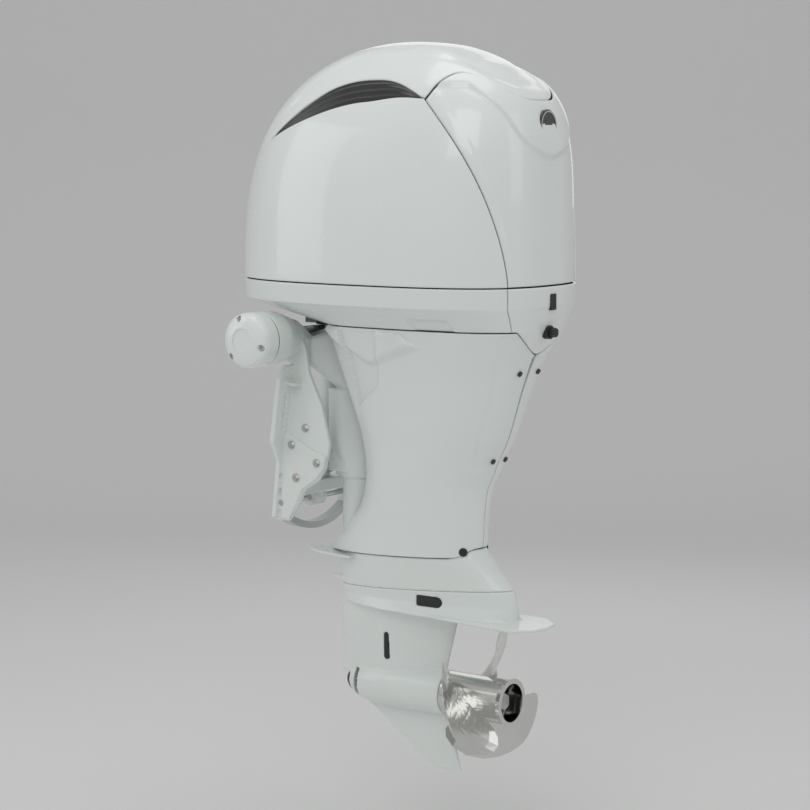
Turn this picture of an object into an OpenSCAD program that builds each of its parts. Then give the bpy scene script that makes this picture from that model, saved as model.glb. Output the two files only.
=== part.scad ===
// Large four-stroke outboard motor with a long white midsection, a power tilt unit,
// built-in electric steering and a stainless propeller.
// Origin: centre of the transom's top edge, on its aft face. +X forward, +Y port, +Z up.

/* [Leg] */
// Transom top down to the anti-ventilation plate
shaft_length = 620; // [500:1:780]
// Lean of the clamp brackets' mounting face from the leg
transom_lean = 8; // [4:1:12]
// Steering axis aft of the transom's aft face
steer_back = 121; // [112:1:150]
// Driveshaft and crankshaft axis aft of the steering axis
drive_back = 94; // [85:1:120]
// Half width of the leg fairing at its top edge
fairing_half_width = 205; // [180:1:250]

/* [Cowl] */
// Half width of the cowl at its widest station
cowl_half_width = 282; // [235:1:340]
// Reach of the cowl forward of its widest station
cowl_front = 480; // [400:1:580]
// Reach of the cowl aft of its widest station
cowl_rear = 418; // [400:1:505]
// Height of the top cowl above its seam
cowl_height = 604; // [500:1:730]
// Height of the seam above the transom top
seam_z = 222; // [200:1:270]
// Wall of the moulded covers
cover_wall = 5; // [3:0.5:7]
// Gap between neighbouring covers
cover_gap = 3; // [1:0.5:5]

/* [Clamp and tilt] */
// Tilt axis aft-to-forward place, from the transom's aft face
tilt_x = 8; // [4:1:14]
// Tilt axis above the transom top
tilt_z = 70; // [62:1:80]
// Outer radius of the tilt tube
tilt_tube_r = 22; // [19:0.5:26]
// Wall of the tilt tube
tilt_tube_wall = 7; // [5:0.5:9]
// Inner face of each clamp bracket, from the centre plane
bracket_inner = 126; // [122:1:150]
// Thickness of a clamp bracket's plates
bracket_wall = 14; // [10:0.5:17]
// Transom bolt spacing, port to starboard
bolt_spacing = 327; // [315:1:340]
// Diameter of the transom bolt holes
bolt_hole = 13; // [10:0.5:16]
// Pitch of the column of upper bolt holes
bolt_pitch = 17.5; // [16:0.5:21]
// Radius of the steering unit's end caps
cap_r = 72; // [60:1:84]
// Radius of the tilt ram's body
ram_r = 24; // [18:1:26]
// Radius of the tilt ram's rod
ram_rod_r = 10; // [8:0.5:12]

/* [Steering] */
// Radius of the steering shaft
steer_shaft_r = 24; // [20:0.5:26]
// Radius of the sliding steering rod's pin
steer_pin_r = 7; // [5.5:0.5:8.5]

/* [Gearcase] */
// Gear module at the large end
gear_module = 4; // [3.3:0.1:4.8]
// Teeth of the pinion
pinion_teeth = 12; // [12:1:12]
// Teeth of the forward and reverse gears
gear_teeth = 21; // [21:1:21]
// Radius of the propeller shaft
prop_shaft_r = 15; // [12.5:0.5:17]
// Radius of the driveshaft
drive_shaft_r = 11; // [9:0.5:13]
// Wall of the torpedo outside the gear chamber
torpedo_wall = 11; // [9:0.5:14]

/* [Propeller] */
// Propeller radius
prop_r = 197; // [164:1:237]
// Turn of the first blade from straight up
blade_phase = 30; // [0:1:119]
// Axial advance of the blades in one turn
prop_pitch = 480; // [400:5:580]

/* [Hidden] */
$fn = 64;
EPS = 0.01;             // overlap that makes two solids one
RUN = 0.05;             // radial running clearance of a shaft in its bore
COARSE = 32;            // facets of a circle inside a hull

// ---- places worked out from the driving dimensions ----
steer_x = -steer_back;
drive_x = steer_x - drive_back;
cowl_x = -300;                                // widest station of the cowl
nose_x = cowl_x + cowl_front;
tail_x = cowl_x - cowl_rear;
fairing_top = seam_z - 112;                   // seam between bottom cowl and leg fairing
fairing_tail = tail_x + 15;
foot_z = -(shaft_length - 120);               // front end of the fairing's lower edge
joint_z = foot_z - 92;                        // joint of midsection and gearcase, at the front
plate_z = -shaft_length - 8;                  // anti-ventilation plate, at the front
plate_slope = 0.025;                          // drop of the plate along X
bracket_outer = bracket_inner + bracket_wall;
housing_end = 262;                            // outer end of the steering housings

// gears: pitch radii, cone distances and the chamber around them
pinion_r = gear_module * pinion_teeth / 2;
gear_r = gear_module * gear_teeth / 2;
tooth_face = 0.29;                            // share of the cone taken by the teeth
gear_tip = gear_r + 0.7 * gear_module;
chamber_r = gear_tip + 4;
torpedo_r = chamber_r + torpedo_wall;
tip_gap = 33;                                 // propeller tip below the plate
prop_z = plate_z - prop_r - tip_gap + 8;
hub_front = tail_x + 307;                     // front face of the propeller hub
hub_rear = hub_front - 192;
hub_r = torpedo_r - 1;
skeg_z = prop_z - prop_r - 8;
clutch_r = gear_r * (1 - tooth_face) - 5;
clutch_travel = 10;
dog_h = 4;

// steering arm, levels from the swivel bracket's top upwards
swivel_top = tilt_z + tilt_tube_r + 2;
arm_z = swivel_top + 3;
arm_t = 14;
guide_z = arm_z + arm_t + 12;                 // underside of the exhaust guide
guide_t = 22;
arm_reach = steer_back + tilt_x;              // steering axis to tilt axis
steer_limit = 32;                             // steering range each way, degrees
steer_slack = 2.6;                            // play of the pin in the arm's slot
swivel_bore = steer_shaft_r + 6;
swivel_tube_r = swivel_bore + 15;
swivel_foot = foot_z + 47;
fairing_open = 34;                            // angle at which the fairing's front edges stand

// tilt ram: lower pivot on the brackets, upper pivot on the swivel bracket
ram_low = [30, -372];
ram_up = [tilt_x - 48, tilt_z - 34];
ram_pin_r = 8;
ram_eye_r = 22;
ram_play = 8.5;                                 // play of the rod's eye around the upper pin
ram_span = norm(ram_up - ram_low);
ram_angle = atan2(ram_up[0] - ram_low[0], ram_up[1] - ram_low[1]);
trim_y = 46;                                  // trim cylinders, from the centre plane
trim_z = -262;                                // where a trim rod meets the swivel bracket
trim_angle = 25;                              // rise of the trim rods going aft

// ---- functions ----
function mix(a, b, t) = a + (b - a) * t;
function spow(v, p) = sign(v) * pow(abs(v), p);
function clamp01(t) = min(1, max(0, t));
function ease(t) = let (s = clamp01(t)) s * s * (3 - 2 * s);

// Smooth curve through rows [t, value, value, ...], which may be of any length.
function row_of(tab, t, i = 0) = (i >= len(tab) - 2 || t < tab[i + 1][0]) ? i : row_of(tab, t, i + 1);
function rise(tab, i) =
    let (a = max(i - 1, 0), b = min(i + 1, len(tab) - 1)) (tab[b] - tab[a]) / (tab[b][0] - tab[a][0]);
function curve(tab, t) =
    let (i = row_of(tab, t), w = tab[i + 1][0] - tab[i][0], s = (t - tab[i][0]) / w)
    tab[i] * (2 * pow(s, 3) - 3 * s * s + 1) + rise(tab, i) * w * (pow(s, 3) - 2 * s * s + s)
    + tab[i + 1] * (3 * s * s - 2 * pow(s, 3)) + rise(tab, i + 1) * w * (pow(s, 3) - s * s);

// Egg-shaped plan: r is [t, centre, front, rear, half width, front power, rear power].
function plan(a, r, d = 0) =
    let (c = cos(a), s = sin(a), n = c >= 0 ? r[5] : r[6], reach = (c >= 0 ? r[2] - r[1] : r[1] - r[3]) - d)
    [r[1] + reach * spow(c, 2 / n), (r[4] - d) * spow(s, 2 / n)];

// Top cowl: a is the angle around it from the nose, h the height above its seam, d a depth inwards.
function cowl_power(c) = 3.5 + ((c >= 0 ? 2.7 : 6.1) - 3.5) * c * c;
function cowl_at(a, h, d = 0) =
    let (r = sqrt(max(0, 1 - pow(h, cowl_power(cos(a))))),
         p = plan(a, [0, cowl_x, nose_x, tail_x, cowl_half_width, 2.6, 2.8], d))
    [cowl_x + (p[0] - cowl_x) * r, p[1] * r, seam_z + cover_gap / 2 + (cowl_height - d) * h];

// Seams of the top cowl, as heights at an angle or angles at a share v of the side's height.
side_top_rows = [[36.5, 0.454], [41.5, 0.549], [51.5, 0.6], [68, 0.67], [87, 0.741], [100, 0.767], [113.8, 0.763]];
intake_rows = [[47, 0.585], [59, 0.688], [67.5, 0.754], [77, 0.812], [90, 0.843], [101, 0.826], [113.8, 0.763]];
roof_tail_rows = [[113.8, 0.763], [121, 0.819], [131, 0.857], [140, 0.868], [148, 0.851], [156, 0.815],
    [165, 0.782], [173, 0.76], [180, 0.756]];
corner_a = 113.8;       // top end of the corner seam
corner_h = 0.763;
corner_sweep = 40.2;    // how far the corner seam runs aft on its way down
function front_seam(v) = 24 + 12.5 * v;
function corner_seam(v) = corner_a + corner_sweep * (1 - pow(v, 1.5));
function side_top(a) = curve(side_top_rows, a)[1];
function roof_edge(a) =
    let (b = abs(a > 180 ? a - 360 : a))
    b < 24 ? 0 : b < 36.5 ? 0.454 * (b - 24) / 12.5 : b < 47 ? side_top(b)
    : b < corner_a ? curve(intake_rows, b)[1] : curve(roof_tail_rows, b)[1];

// Bottom cowl and leg fairing: plan rows from the seam down to the fairing's top, then to its foot.
bowl_rows = [
    [0, -320, -95, fairing_tail, fairing_half_width, 3, 3.2],
    [0.3, -305, nose_x - 120, tail_x + 7, cowl_half_width - 38, 2.8, 3],
    [0.48, cowl_x, nose_x - 30, tail_x + 4, cowl_half_width - 14, 2.6, 2.9],
    [0.54, cowl_x, nose_x - 4, tail_x + 2, cowl_half_width - 5, 2.6, 2.8],
    [1, cowl_x, nose_x, tail_x, cowl_half_width, 2.6, 2.8]];
leg_rows = [
    [0, -320, -95, fairing_tail, fairing_half_width, 3, 3.2],
    [0.115, -335, -105, fairing_tail + 35, fairing_half_width - 27, 3, 3],
    [0.246, -345, -125, fairing_tail + 67, fairing_half_width - 53, 3, 2.8],
    [0.459, -345, -160, fairing_tail + 110, fairing_half_width - 83, 2.8, 2.6],
    [0.59, -330, -170, fairing_tail + 150, fairing_half_width - 97, 2.6, 2.5],
    [0.679, -320, -165, fairing_tail + 175, fairing_half_width - 105, 2.5, 2.4],
    [0.787, -305, -140, fairing_tail + 185, fairing_half_width - 111, 2.3, 2.4],
    [0.885, -290, -80, fairing_tail + 188, fairing_half_width - 113, 2, 2.4],
    [1, -270, -34, fairing_tail + 195, fairing_half_width - 113, 1.8, 2.4]];
function linear(tab, t) =
    let (i = row_of(tab, t), s = clamp01((t - tab[i][0]) / (tab[i + 1][0] - tab[i][0]))) mix(tab[i], tab[i + 1], s);
function skin_row(z) =
    z >= fairing_top ? linear(bowl_rows, (z - fairing_top) / (seam_z - fairing_top))
    : curve(leg_rows, (fairing_top - z) / (fairing_top - foot_z));
function skin_at(a, z, d = 0) = let (p = plan(a, skin_row(z), d)) [p[0], p[1], z];
// The seam under the bottom cowl dips in a V at the tail.
function v_seam(a) = fairing_top - 62 * clamp01((abs(a > 180 ? a - 360 : a) - 158) / 22);
// The fairing's lower edge rises going aft.
function foot_edge(x) = foot_z + 20 * clamp01((-34 - x) / 430) + 24 * ease((fairing_tail + 243 - x) / 50);
function joint_edge(x) = joint_z + 0.062 * (-67 - x);
function plate_edge(x) = plate_z + plate_slope * (x + 67);

// ---- building blocks ----
// A closed shell from two grids of points, outer and inner, each a list of equal rows.
module shell(outer, inner) {
    m = len(outer);
    n = len(outer[0]);
    function at(side, i, j) = side * m * n + i * n + j;
    faces = [
        for (i = [0 : m - 2], j = [0 : n - 2]) each [
            [at(0, i, j), at(0, i + 1, j), at(0, i + 1, j + 1)], [at(0, i, j), at(0, i + 1, j + 1), at(0, i, j + 1)],
            [at(1, i, j), at(1, i + 1, j + 1), at(1, i + 1, j)], [at(1, i, j), at(1, i, j + 1), at(1, i + 1, j + 1)]],
        for (i = [0 : m - 2]) each [
            [at(0, i, 0), at(1, i, 0), at(1, i + 1, 0)], [at(0, i, 0), at(1, i + 1, 0), at(0, i + 1, 0)],
            [at(0, i, n - 1), at(1, i + 1, n - 1), at(1, i, n - 1)],
            [at(0, i, n - 1), at(0, i + 1, n - 1), at(1, i + 1, n - 1)]],
        for (j = [0 : n - 2]) each [
            [at(0, 0, j), at(1, 0, j + 1), at(1, 0, j)], [at(0, 0, j), at(0, 0, j + 1), at(1, 0, j + 1)],
            [at(0, m - 1, j), at(1, m - 1, j), at(1, m - 1, j + 1)],
            [at(0, m - 1, j), at(1, m - 1, j + 1), at(0, m - 1, j + 1)]]];
    polyhedron(points = concat([for (r = outer) each r], [for (r = inner) each r]), faces = faces, convexity = 8);
}

// A solid from rings of equal length, lowest ring first, each ring counter-clockwise from above.
module loft(rings) {
    m = len(rings);
    n = len(rings[0]);
    function centre(r) = [for (k = [0 : 2]) (r[0][k] + r[floor(n / 2)][k]) / 2];
    faces = [
        for (i = [0 : m - 2], j = [0 : n - 1]) let (k = (j + 1) % n) each [
            [i * n + j, (i + 1) * n + j, (i + 1) * n + k], [i * n + j, (i + 1) * n + k, i * n + k]],
        for (j = [0 : n - 1]) let (k = (j + 1) % n) each [
            [m * n, j, k], [m * n + 1, (m - 1) * n + k, (m - 1) * n + j]]];
    polyhedron(points = concat([for (r = rings) each r], [centre(rings[0]), centre(rings[m - 1])]), faces = faces,
        convexity = 8);
}

module both_sides() {
    children();
    mirror([0, 1, 0]) children();
}
module along_y(r, y0, y1, x = 0, z = 0) {
    translate([x, y0, z]) rotate([-90, 0, 0]) cylinder(r = r, h = y1 - y0);
}
module along_x(r, x0, x1, y = 0, z = prop_z) {
    translate([x0, y, z]) rotate([0, 90, 0]) cylinder(r = r, h = x1 - x0);
}
// An upright plate drawn in X and Z, between two Y planes.
module side_plate(points, y0, y1) {
    translate([0, y1, 0]) rotate([90, 0, 0]) linear_extrude(y1 - y0) polygon(points);
}
// Frame of the transom's aft face: its own X is the face's normal.
module on_transom() {
    rotate([0, -transom_lean, 0]) children();
}
module ram_frame() {
    translate([ram_low[0], 0, ram_low[1]]) rotate([0, ram_angle, 0]) children();
}
module trim_frame(y) {
    translate([swivel_pad_x + 9, y, trim_z]) rotate([0, 90 + trim_angle, 0]) children();
}
swivel_pad_x = steer_x + swivel_tube_r + 14;  // face that the trim rods push on

// ---- clamp brackets ----
face_drop = 425;        // length of a bracket below the transom top
function face_x(z) = -z * tan(transom_lean);  // transom's aft face at a height
module clamp_bracket() {
    difference() {
        union() {
            // web between the mounting flange and the pivots; it hooks over the transom's top
            difference() {
                side_plate([[26, 2], [38, 34], [tilt_x + 40, tilt_z], [tilt_x - 40, tilt_z + 12], [-50, 30], [-58, -22],
                    [-100, -108], [-125, -207], [-111, -268], [-88, -304], [-42, -334], [-18, -383],
                    [10, -face_drop + 6], [face_x(-face_drop) + 20, -face_drop + 6], [30, -60]], bracket_inner, bracket_outer);
                on_transom() translate([-2, -500, -600]) cube([200, 1000, 600]);
            }
            along_y(tilt_tube_r + 24, bracket_inner, bracket_outer + 26, tilt_x, tilt_z);
            along_y(ram_pin_r + 14, bracket_inner + 1, bracket_outer + 6, ram_low[0] - 8, ram_low[1]);
            // mounting flange, wide at the top and narrow at the foot
            on_transom() translate([-bracket_wall, 0, 0]) rotate([90, 0, 90]) linear_extrude(bracket_wall)
                polygon([[bracket_inner + 1, -3], [bracket_outer + 34, -3], [bracket_outer + 56, -36],
                    [bracket_outer + 56, -205], [bracket_outer + 20, -262], [bracket_outer + 14, -face_drop + 12],
                    [bracket_inner + 1, -face_drop + 2]]);
            // thicker lower half of the web, which carries the bolts of the tilt unit
            difference() {
                side_plate([[24, -190], [-8, -190], [-72, -222], [-119, -238], [-109, -272], [-85, -300], [-40, -330], [-16, -378],
                    [4, -face_drop + 12], [30, -face_drop + 12]], bracket_outer - 2, bracket_outer + web_pad);
                on_transom() translate([-2, -500, -600]) cube([200, 1000, 600]);
            }
            // rib that closes the pocket beside the web
            on_transom() translate([-46, bracket_outer - 2, -52]) cube([46 - bracket_wall + 2, 34, 8]);
        }
        along_y(tilt_tube_r + 5, bracket_inner - 1, bracket_outer + 30, tilt_x, tilt_z);
        along_y(ram_pin_r + RUN, bracket_inner - 1, bracket_outer + 30, ram_low[0], ram_low[1]);
        on_transom() for (z = concat(upper_holes, [lower_hole])) along_x(bolt_hole / 2, -bracket_wall - 1, 1, bolt_y(z), z);
    }
}
web_pad = 8;
upper_holes = [for (i = [0 : 5]) -82 - i * bolt_pitch];
lower_hole = -300;
function bolt_y(z) = z == lower_hole ? bracket_outer + 8 : bolt_spacing / 2;
module clamp_bracket_port() {
    color("whitesmoke") clamp_bracket();
}
module clamp_bracket_starboard() {
    color("whitesmoke") mirror([0, 1, 0]) clamp_bracket();
}
module tilt_bushes() {
    color("ivory") both_sides() difference() {
        union() {
            along_y(tilt_tube_r + 5, bracket_inner, bracket_outer + 26, tilt_x, tilt_z);
            along_y(tilt_tube_r + 9, bracket_inner - 2, bracket_inner, tilt_x, tilt_z);
        }
        along_y(tilt_tube_r + RUN, bracket_inner - 3, bracket_outer + 27, tilt_x, tilt_z);
    }
}
module steering_housing() {
    start = bracket_outer + 26;
    difference() {
        hull() {
            along_y(cap_r - 14, start, start + 10, tilt_x, tilt_z);
            along_y(cap_r - 1, housing_end - 50, housing_end, tilt_x, tilt_z);
        }
        along_y(tilt_tube_r + 1, start - 1, housing_end - 30, tilt_x, tilt_z);
    }
}
module steering_housing_port() {
    color("whitesmoke") steering_housing();
}
module steering_housing_starboard() {
    color("whitesmoke") mirror([0, 1, 0]) steering_housing();
}
seal_w = 6;
cap_start = housing_end + seal_w;
cap_bolt_r = cap_r - 14;
cap_bolt_angles = [75, 195, 315];
module steering_cap() {
    difference() {
        translate([tilt_x, cap_start, tilt_z]) rotate([-90, 0, 0]) rotate_extrude()
            polygon([[0, 0], [cap_r, 0], [cap_r, 34], [cap_r - 3, 46], [cap_r - 10, 54], [cap_r - 22, 59],
                [cap_r - 36, 61], [0, 62]]);
        // recess of the round badge
        along_y(cap_r - 40, cap_start + 59, cap_start + 70, tilt_x, tilt_z);
        for (a = cap_bolt_angles) cap_bolt_hole(a, 8.5, cap_start + 40, cap_start + 80);
    }
}
module cap_bolt_hole(a, r, y0, y1) {
    along_y(r, y0, y1, tilt_x + cap_bolt_r * cos(a), tilt_z + cap_bolt_r * sin(a));
}
module steering_cap_port() {
    color("white") steering_cap();
}
module steering_cap_starboard() {
    color("white") mirror([0, 1, 0]) steering_cap();
}
module cap_seals() {
    color([0.08, 0.08, 0.09]) both_sides() difference() {
        along_y(cap_r - 3, housing_end, cap_start, tilt_x, tilt_z);
        along_y(cap_r - 20, housing_end - 1, cap_start + 1, tilt_x, tilt_z);
    }
}
web_bolts = [[-48, -168], [-8, -214], [-90, -256], [-22, -300]];
module mount_bolts() {
    color("silver") both_sides() {
        for (a = cap_bolt_angles) cap_bolt_hole(a, 6.5, cap_start + 40, cap_start + 46);
        for (p = web_bolts) let (y = bracket_outer + (p[1] < -190 ? web_pad : 0)) {
            along_y(11, y, y + 2, p[0], p[1]);
            translate([p[0], y + 2, p[1]]) rotate([-90, 0, 0]) cylinder(r = 8, h = 5, $fn = 6);
        }
    }
}
anode_bow = 231;        // radius of the bowed zinc bar between the brackets' feet
anode_end = -face_drop + 16;
module bracket_anode() {
    x = face_x(anode_end) - 24;
    half = asin((bracket_inner) / anode_bow);
    color("gainsboro") translate([x, 0, anode_end + anode_bow * cos(half)]) rotate([0, 90, 0])
        rotate([0, 0, -half]) rotate_extrude(angle = 2 * half) translate([anode_bow, 0]) square([18, 30], center = true);
}

// ---- tilt and trim unit ----
pump_y = 94;
module tilt_pump() {
    color("whitesmoke") {
        difference() {
            union() {
                // valve block across the brackets, with the two trim cylinders
                translate([-20, -bracket_inner + 3, -352]) cube([56, 2 * bracket_inner - 6, 34]);
                for (y = [-trim_y, trim_y]) intersection() {
                    trim_frame(y) translate([0, 0, 3]) cylinder(r = 17, h = 100);
                    translate([-100, -200, -400]) cube([136, 400, 400]);
                }
                // electric motor to starboard, oil reservoir to port
                translate([-14, -pump_y, -319]) cylinder(r = 28, h = 165);
                translate([-14, -pump_y, -154 - EPS]) cylinder(r1 = 28, r2 = 20, h = 12);
                translate([-12, pump_y, -319]) cylinder(r = 26, h = 130);
                translate([-12, pump_y, -189 - EPS]) cylinder(r = 14, h = 14);
            }
            for (y = [-trim_y, trim_y]) trim_frame(y) translate([0, 0, 2]) cylinder(r = 9 + RUN, h = 72);
            // slot for the swinging tilt ram
            ram_frame() translate([-ram_r - 3, -ram_r - 4, -60]) cube([150, 2 * ram_r + 8, 260]);
        }
    }
}
module ram_lower_pin() {
    color("silver") along_y(ram_pin_r, -bracket_outer - 4, bracket_outer + 4, ram_low[0], ram_low[1]);
}
ram_body = ram_span - 66;
ram_travel = 72;         // stroke of the tilt ram
piston_h = 18;
piston_low = ram_body - 16 - ram_travel - piston_h;
module tilt_ram_cylinder() {
    color("whitesmoke") difference() {
        union() {
            along_y(ram_eye_r, -ram_r, ram_r, ram_low[0], ram_low[1]);
            ram_frame() translate([0, 0, 10]) cylinder(r = ram_r, h = ram_body - 10);
        }
        along_y(ram_pin_r + RUN, -ram_r - 1, ram_r + 1, ram_low[0], ram_low[1]);
        ram_frame() translate([0, 0, 44]) cylinder(r = ram_r - 6, h = ram_body - 60);
        ram_frame() translate([0, 0, 30]) cylinder(r = ram_rod_r + RUN, h = ram_body);
    }
}
module tilt_ram_rod() {
    color("silver") difference() {
        union() {
            ram_frame() translate([0, 0, piston_low + 6]) cylinder(r = ram_rod_r,
                h = ram_span - piston_low - 6 - ram_pin_r - ram_play);
            ram_frame() translate([0, 0, piston_low]) cylinder(r = ram_r - 6 - RUN, h = piston_h);
            along_y(ram_eye_r, -12, 12, ram_up[0], ram_up[1]);
        }
        along_y(ram_pin_r + ram_play, -13, 13, ram_up[0], ram_up[1]);
    }
}
module trim_rods() {
    color("silver") for (y = [-trim_y, trim_y]) trim_frame(y) {
        cylinder(r = 9, h = 70);
        translate([0, 0, -5]) cylinder(r1 = 8, r2 = 12, h = 5 + EPS);
    }
}

// ---- swivel bracket ----
// Level slice of the broad front casting, at a share k of its full width.
module swivel_section(k, z) {
    translate([steer_x, 0, z]) {
        cylinder(r = mix(swivel_tube_r, swivel_tube_r + 12, k), h = 1, $fn = COARSE);
        both_sides() translate([18, 42 * k, 0]) cylinder(r = 30 * k, h = 1, $fn = COARSE);
        both_sides() translate([46, 36 * k, 0]) cylinder(r = 24 * k, h = 1, $fn = COARSE);
    }
}
module swivel_bracket() {
    lug_in = arm_swing + 3;
    color("whitesmoke") difference() {
        union() {
            translate([steer_x, 0, swivel_foot]) cylinder(r = swivel_tube_r, h = swivel_top - swivel_foot);
            // broad shoulder from the steering tube out to the hinge lugs
            hull() {
                translate([steer_x, 0, -70]) cylinder(r = swivel_tube_r + 12, h = swivel_top + 70, $fn = COARSE);
                translate([tilt_x - 48, -bracket_inner + 22, tilt_z - 70]) cube([20, 2 * bracket_inner - 44, 60]);
            }
            both_sides() hull() {
                along_y(tilt_tube_r + 14, lug_in, bracket_inner - 4, tilt_x, tilt_z, $fn = COARSE);
                translate([tilt_x - 48, lug_in - 22, tilt_z - 70]) cube([16, bracket_inner - lug_in + 18, 60]);
            }
            // broad front casting, which narrows down to the thrust pads
            hull() {
                swivel_section(1, -71);
                swivel_section(1, -214);
            }
            hull() {
                swivel_section(1, -214);
                swivel_section(0.55, -304);
            }
            translate([steer_x, -trim_y - 15, trim_z - 26]) cube([swivel_pad_x - steer_x, 2 * trim_y + 30, 52]);
        }
        translate([steer_x, 0, swivel_foot - 1]) cylinder(r = swivel_bore + RUN, h = swivel_top - swivel_foot + 2);
        along_y(tilt_tube_r + RUN, -bracket_inner, bracket_inner, tilt_x, tilt_z);
        // room for the tube between the lugs, the ram's eye and the steering arm's swing
        along_y(tilt_tube_r + 8, -lug_in + 1, lug_in - 1, tilt_x, tilt_z);
        translate([ram_up[0] - 32, -17, -160]) cube([130, 34, 330]);
        translate([ram_up[0] - 32, -ram_r - 4, -200]) cube([130, 2 * ram_r + 8, 200 + ram_up[1] - 40]);
        translate([steer_x - 200, -lug_in + 1, swivel_top]) cube([400, 2 * lug_in - 2, 100]);
    }
    color("silver") along_y(ram_pin_r, -22, 22, ram_up[0], ram_up[1]);
}
module tilt_tube() {
    color("silver") difference() {
        along_y(tilt_tube_r, -bracket_outer - 20, bracket_outer + 20, tilt_x, tilt_z);
        along_y(tilt_tube_r - tilt_tube_wall, -bracket_outer - 21, bracket_outer + 21, tilt_x, tilt_z);
        translate([tilt_x - steer_pin_r - 1, -arm_swing, tilt_z]) cube([2 * steer_pin_r + 2, 2 * arm_swing, 60]);
    }
}
module swivel_bushes() {
    color("ivory") for (z = [swivel_foot, swivel_top - 60]) translate([steer_x, 0, z]) difference() {
        cylinder(r = swivel_bore, h = 60);
        translate([0, 0, -1]) cylinder(r = steer_shaft_r + RUN, h = 62);
    }
}
arm_half = steer_pin_r + steer_slack + 7.5;
arm_tip = arm_reach / cos(steer_limit) + steer_pin_r + 8;
arm_swing = arm_tip * sin(steer_limit) + arm_half * cos(steer_limit) + 1;
module steering_rod() {
    color("silver") {
        along_y(tilt_tube_r - tilt_tube_wall - RUN, -bracket_outer + 60, bracket_outer - 60, tilt_x, tilt_z);
        translate([tilt_x, 0, tilt_z]) cylinder(r = steer_pin_r, h = arm_z + arm_t + 3 - tilt_z);
    }
}

// ---- steering shaft and mounts, which turn with the motor ----
yoke_z = swivel_foot - 44;
yoke_t = 40;
module steering_shaft() {
    color("silver") translate([steer_x, 0, yoke_z - 6]) difference() {
        cylinder(r = steer_shaft_r, h = arm_z + arm_t + 4 - yoke_z + 6);
        translate([0, 0, -1]) cylinder(r = 9, h = arm_z + arm_t + 20 - yoke_z);
    }
}
mount_x = drive_x - 34;     // rubber mounts, aft of the driveshaft
upper_mount_y = 58;
lower_mount_y = 56;
module steering_arm() {
    slot_half = steer_pin_r + steer_slack;
    color([0.1, 0.1, 0.11]) difference() {
        union() {
            translate([steer_x, 0, arm_z]) cylinder(r = steer_shaft_r + 16, h = arm_t);
            translate([steer_x, -arm_half, arm_z]) cube([arm_tip, 2 * arm_half, arm_t]);
            both_sides() {
                translate([0, 0, arm_z]) linear_extrude(arm_t) polygon([[steer_x - 20, -2], [steer_x + 2, 36],
                    [mount_x, upper_mount_y + 20], [mount_x, upper_mount_y - 20]]);
                translate([mount_x, upper_mount_y, arm_z]) cylinder(r = 22, h = arm_t);
            }
        }
        translate([steer_x, 0, arm_z - 1]) cylinder(r = steer_shaft_r, h = arm_t + 2);
        translate([steer_x + arm_reach - slot_half, -slot_half, arm_z - 1])
            cube([arm_tip - arm_reach + slot_half - 6, 2 * slot_half, arm_t + 2]);
    }
}
module lower_yoke() {
    color("whitesmoke") difference() {
        union() {
            translate([steer_x, 0, yoke_z]) cylinder(r = steer_shaft_r + 14, h = yoke_t);
            both_sides() translate([0, 0, yoke_z + 8]) linear_extrude(yoke_t - 16) polygon([[steer_x + 12, 18],
                [steer_x + 26, 26], [steer_x - 2, 56], [steer_x - 39, 66], [mount_x + 34, lower_mount_y + 24],
                [mount_x - 20, lower_mount_y + 24], [mount_x - 20, lower_mount_y + 12],
                [mount_x + 34, lower_mount_y + 12], [steer_x - 44, 54], [steer_x - 12, 22]]);
        }
        translate([steer_x, 0, yoke_z - 1]) cylinder(r = steer_shaft_r, h = yoke_t + 2);
    }
}
module rubber_mounts() {
    color([0.12, 0.12, 0.12]) {
        for (y = [-upper_mount_y, upper_mount_y]) translate([mount_x, y, arm_z + arm_t]) difference() {
            cylinder(r = 20, h = guide_z - arm_z - arm_t);
            translate([0, 0, -1]) cylinder(r = 6, h = 20);
        }
        both_sides() along_y(12, column_half, lower_mount_y + 12, mount_x, yoke_z + yoke_t / 2);
    }
}
module control_boot() {
    color([0.06, 0.06, 0.06]) translate([steer_x + 27, 62, swivel_top + 7.6]) rotate([0, 90, 0]) rotate_extrude()
        polygon([[0, 0], [7, 0], [7, 8], [6, 16], [4, 48], [3, 68], [0, 68]]);
}

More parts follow.
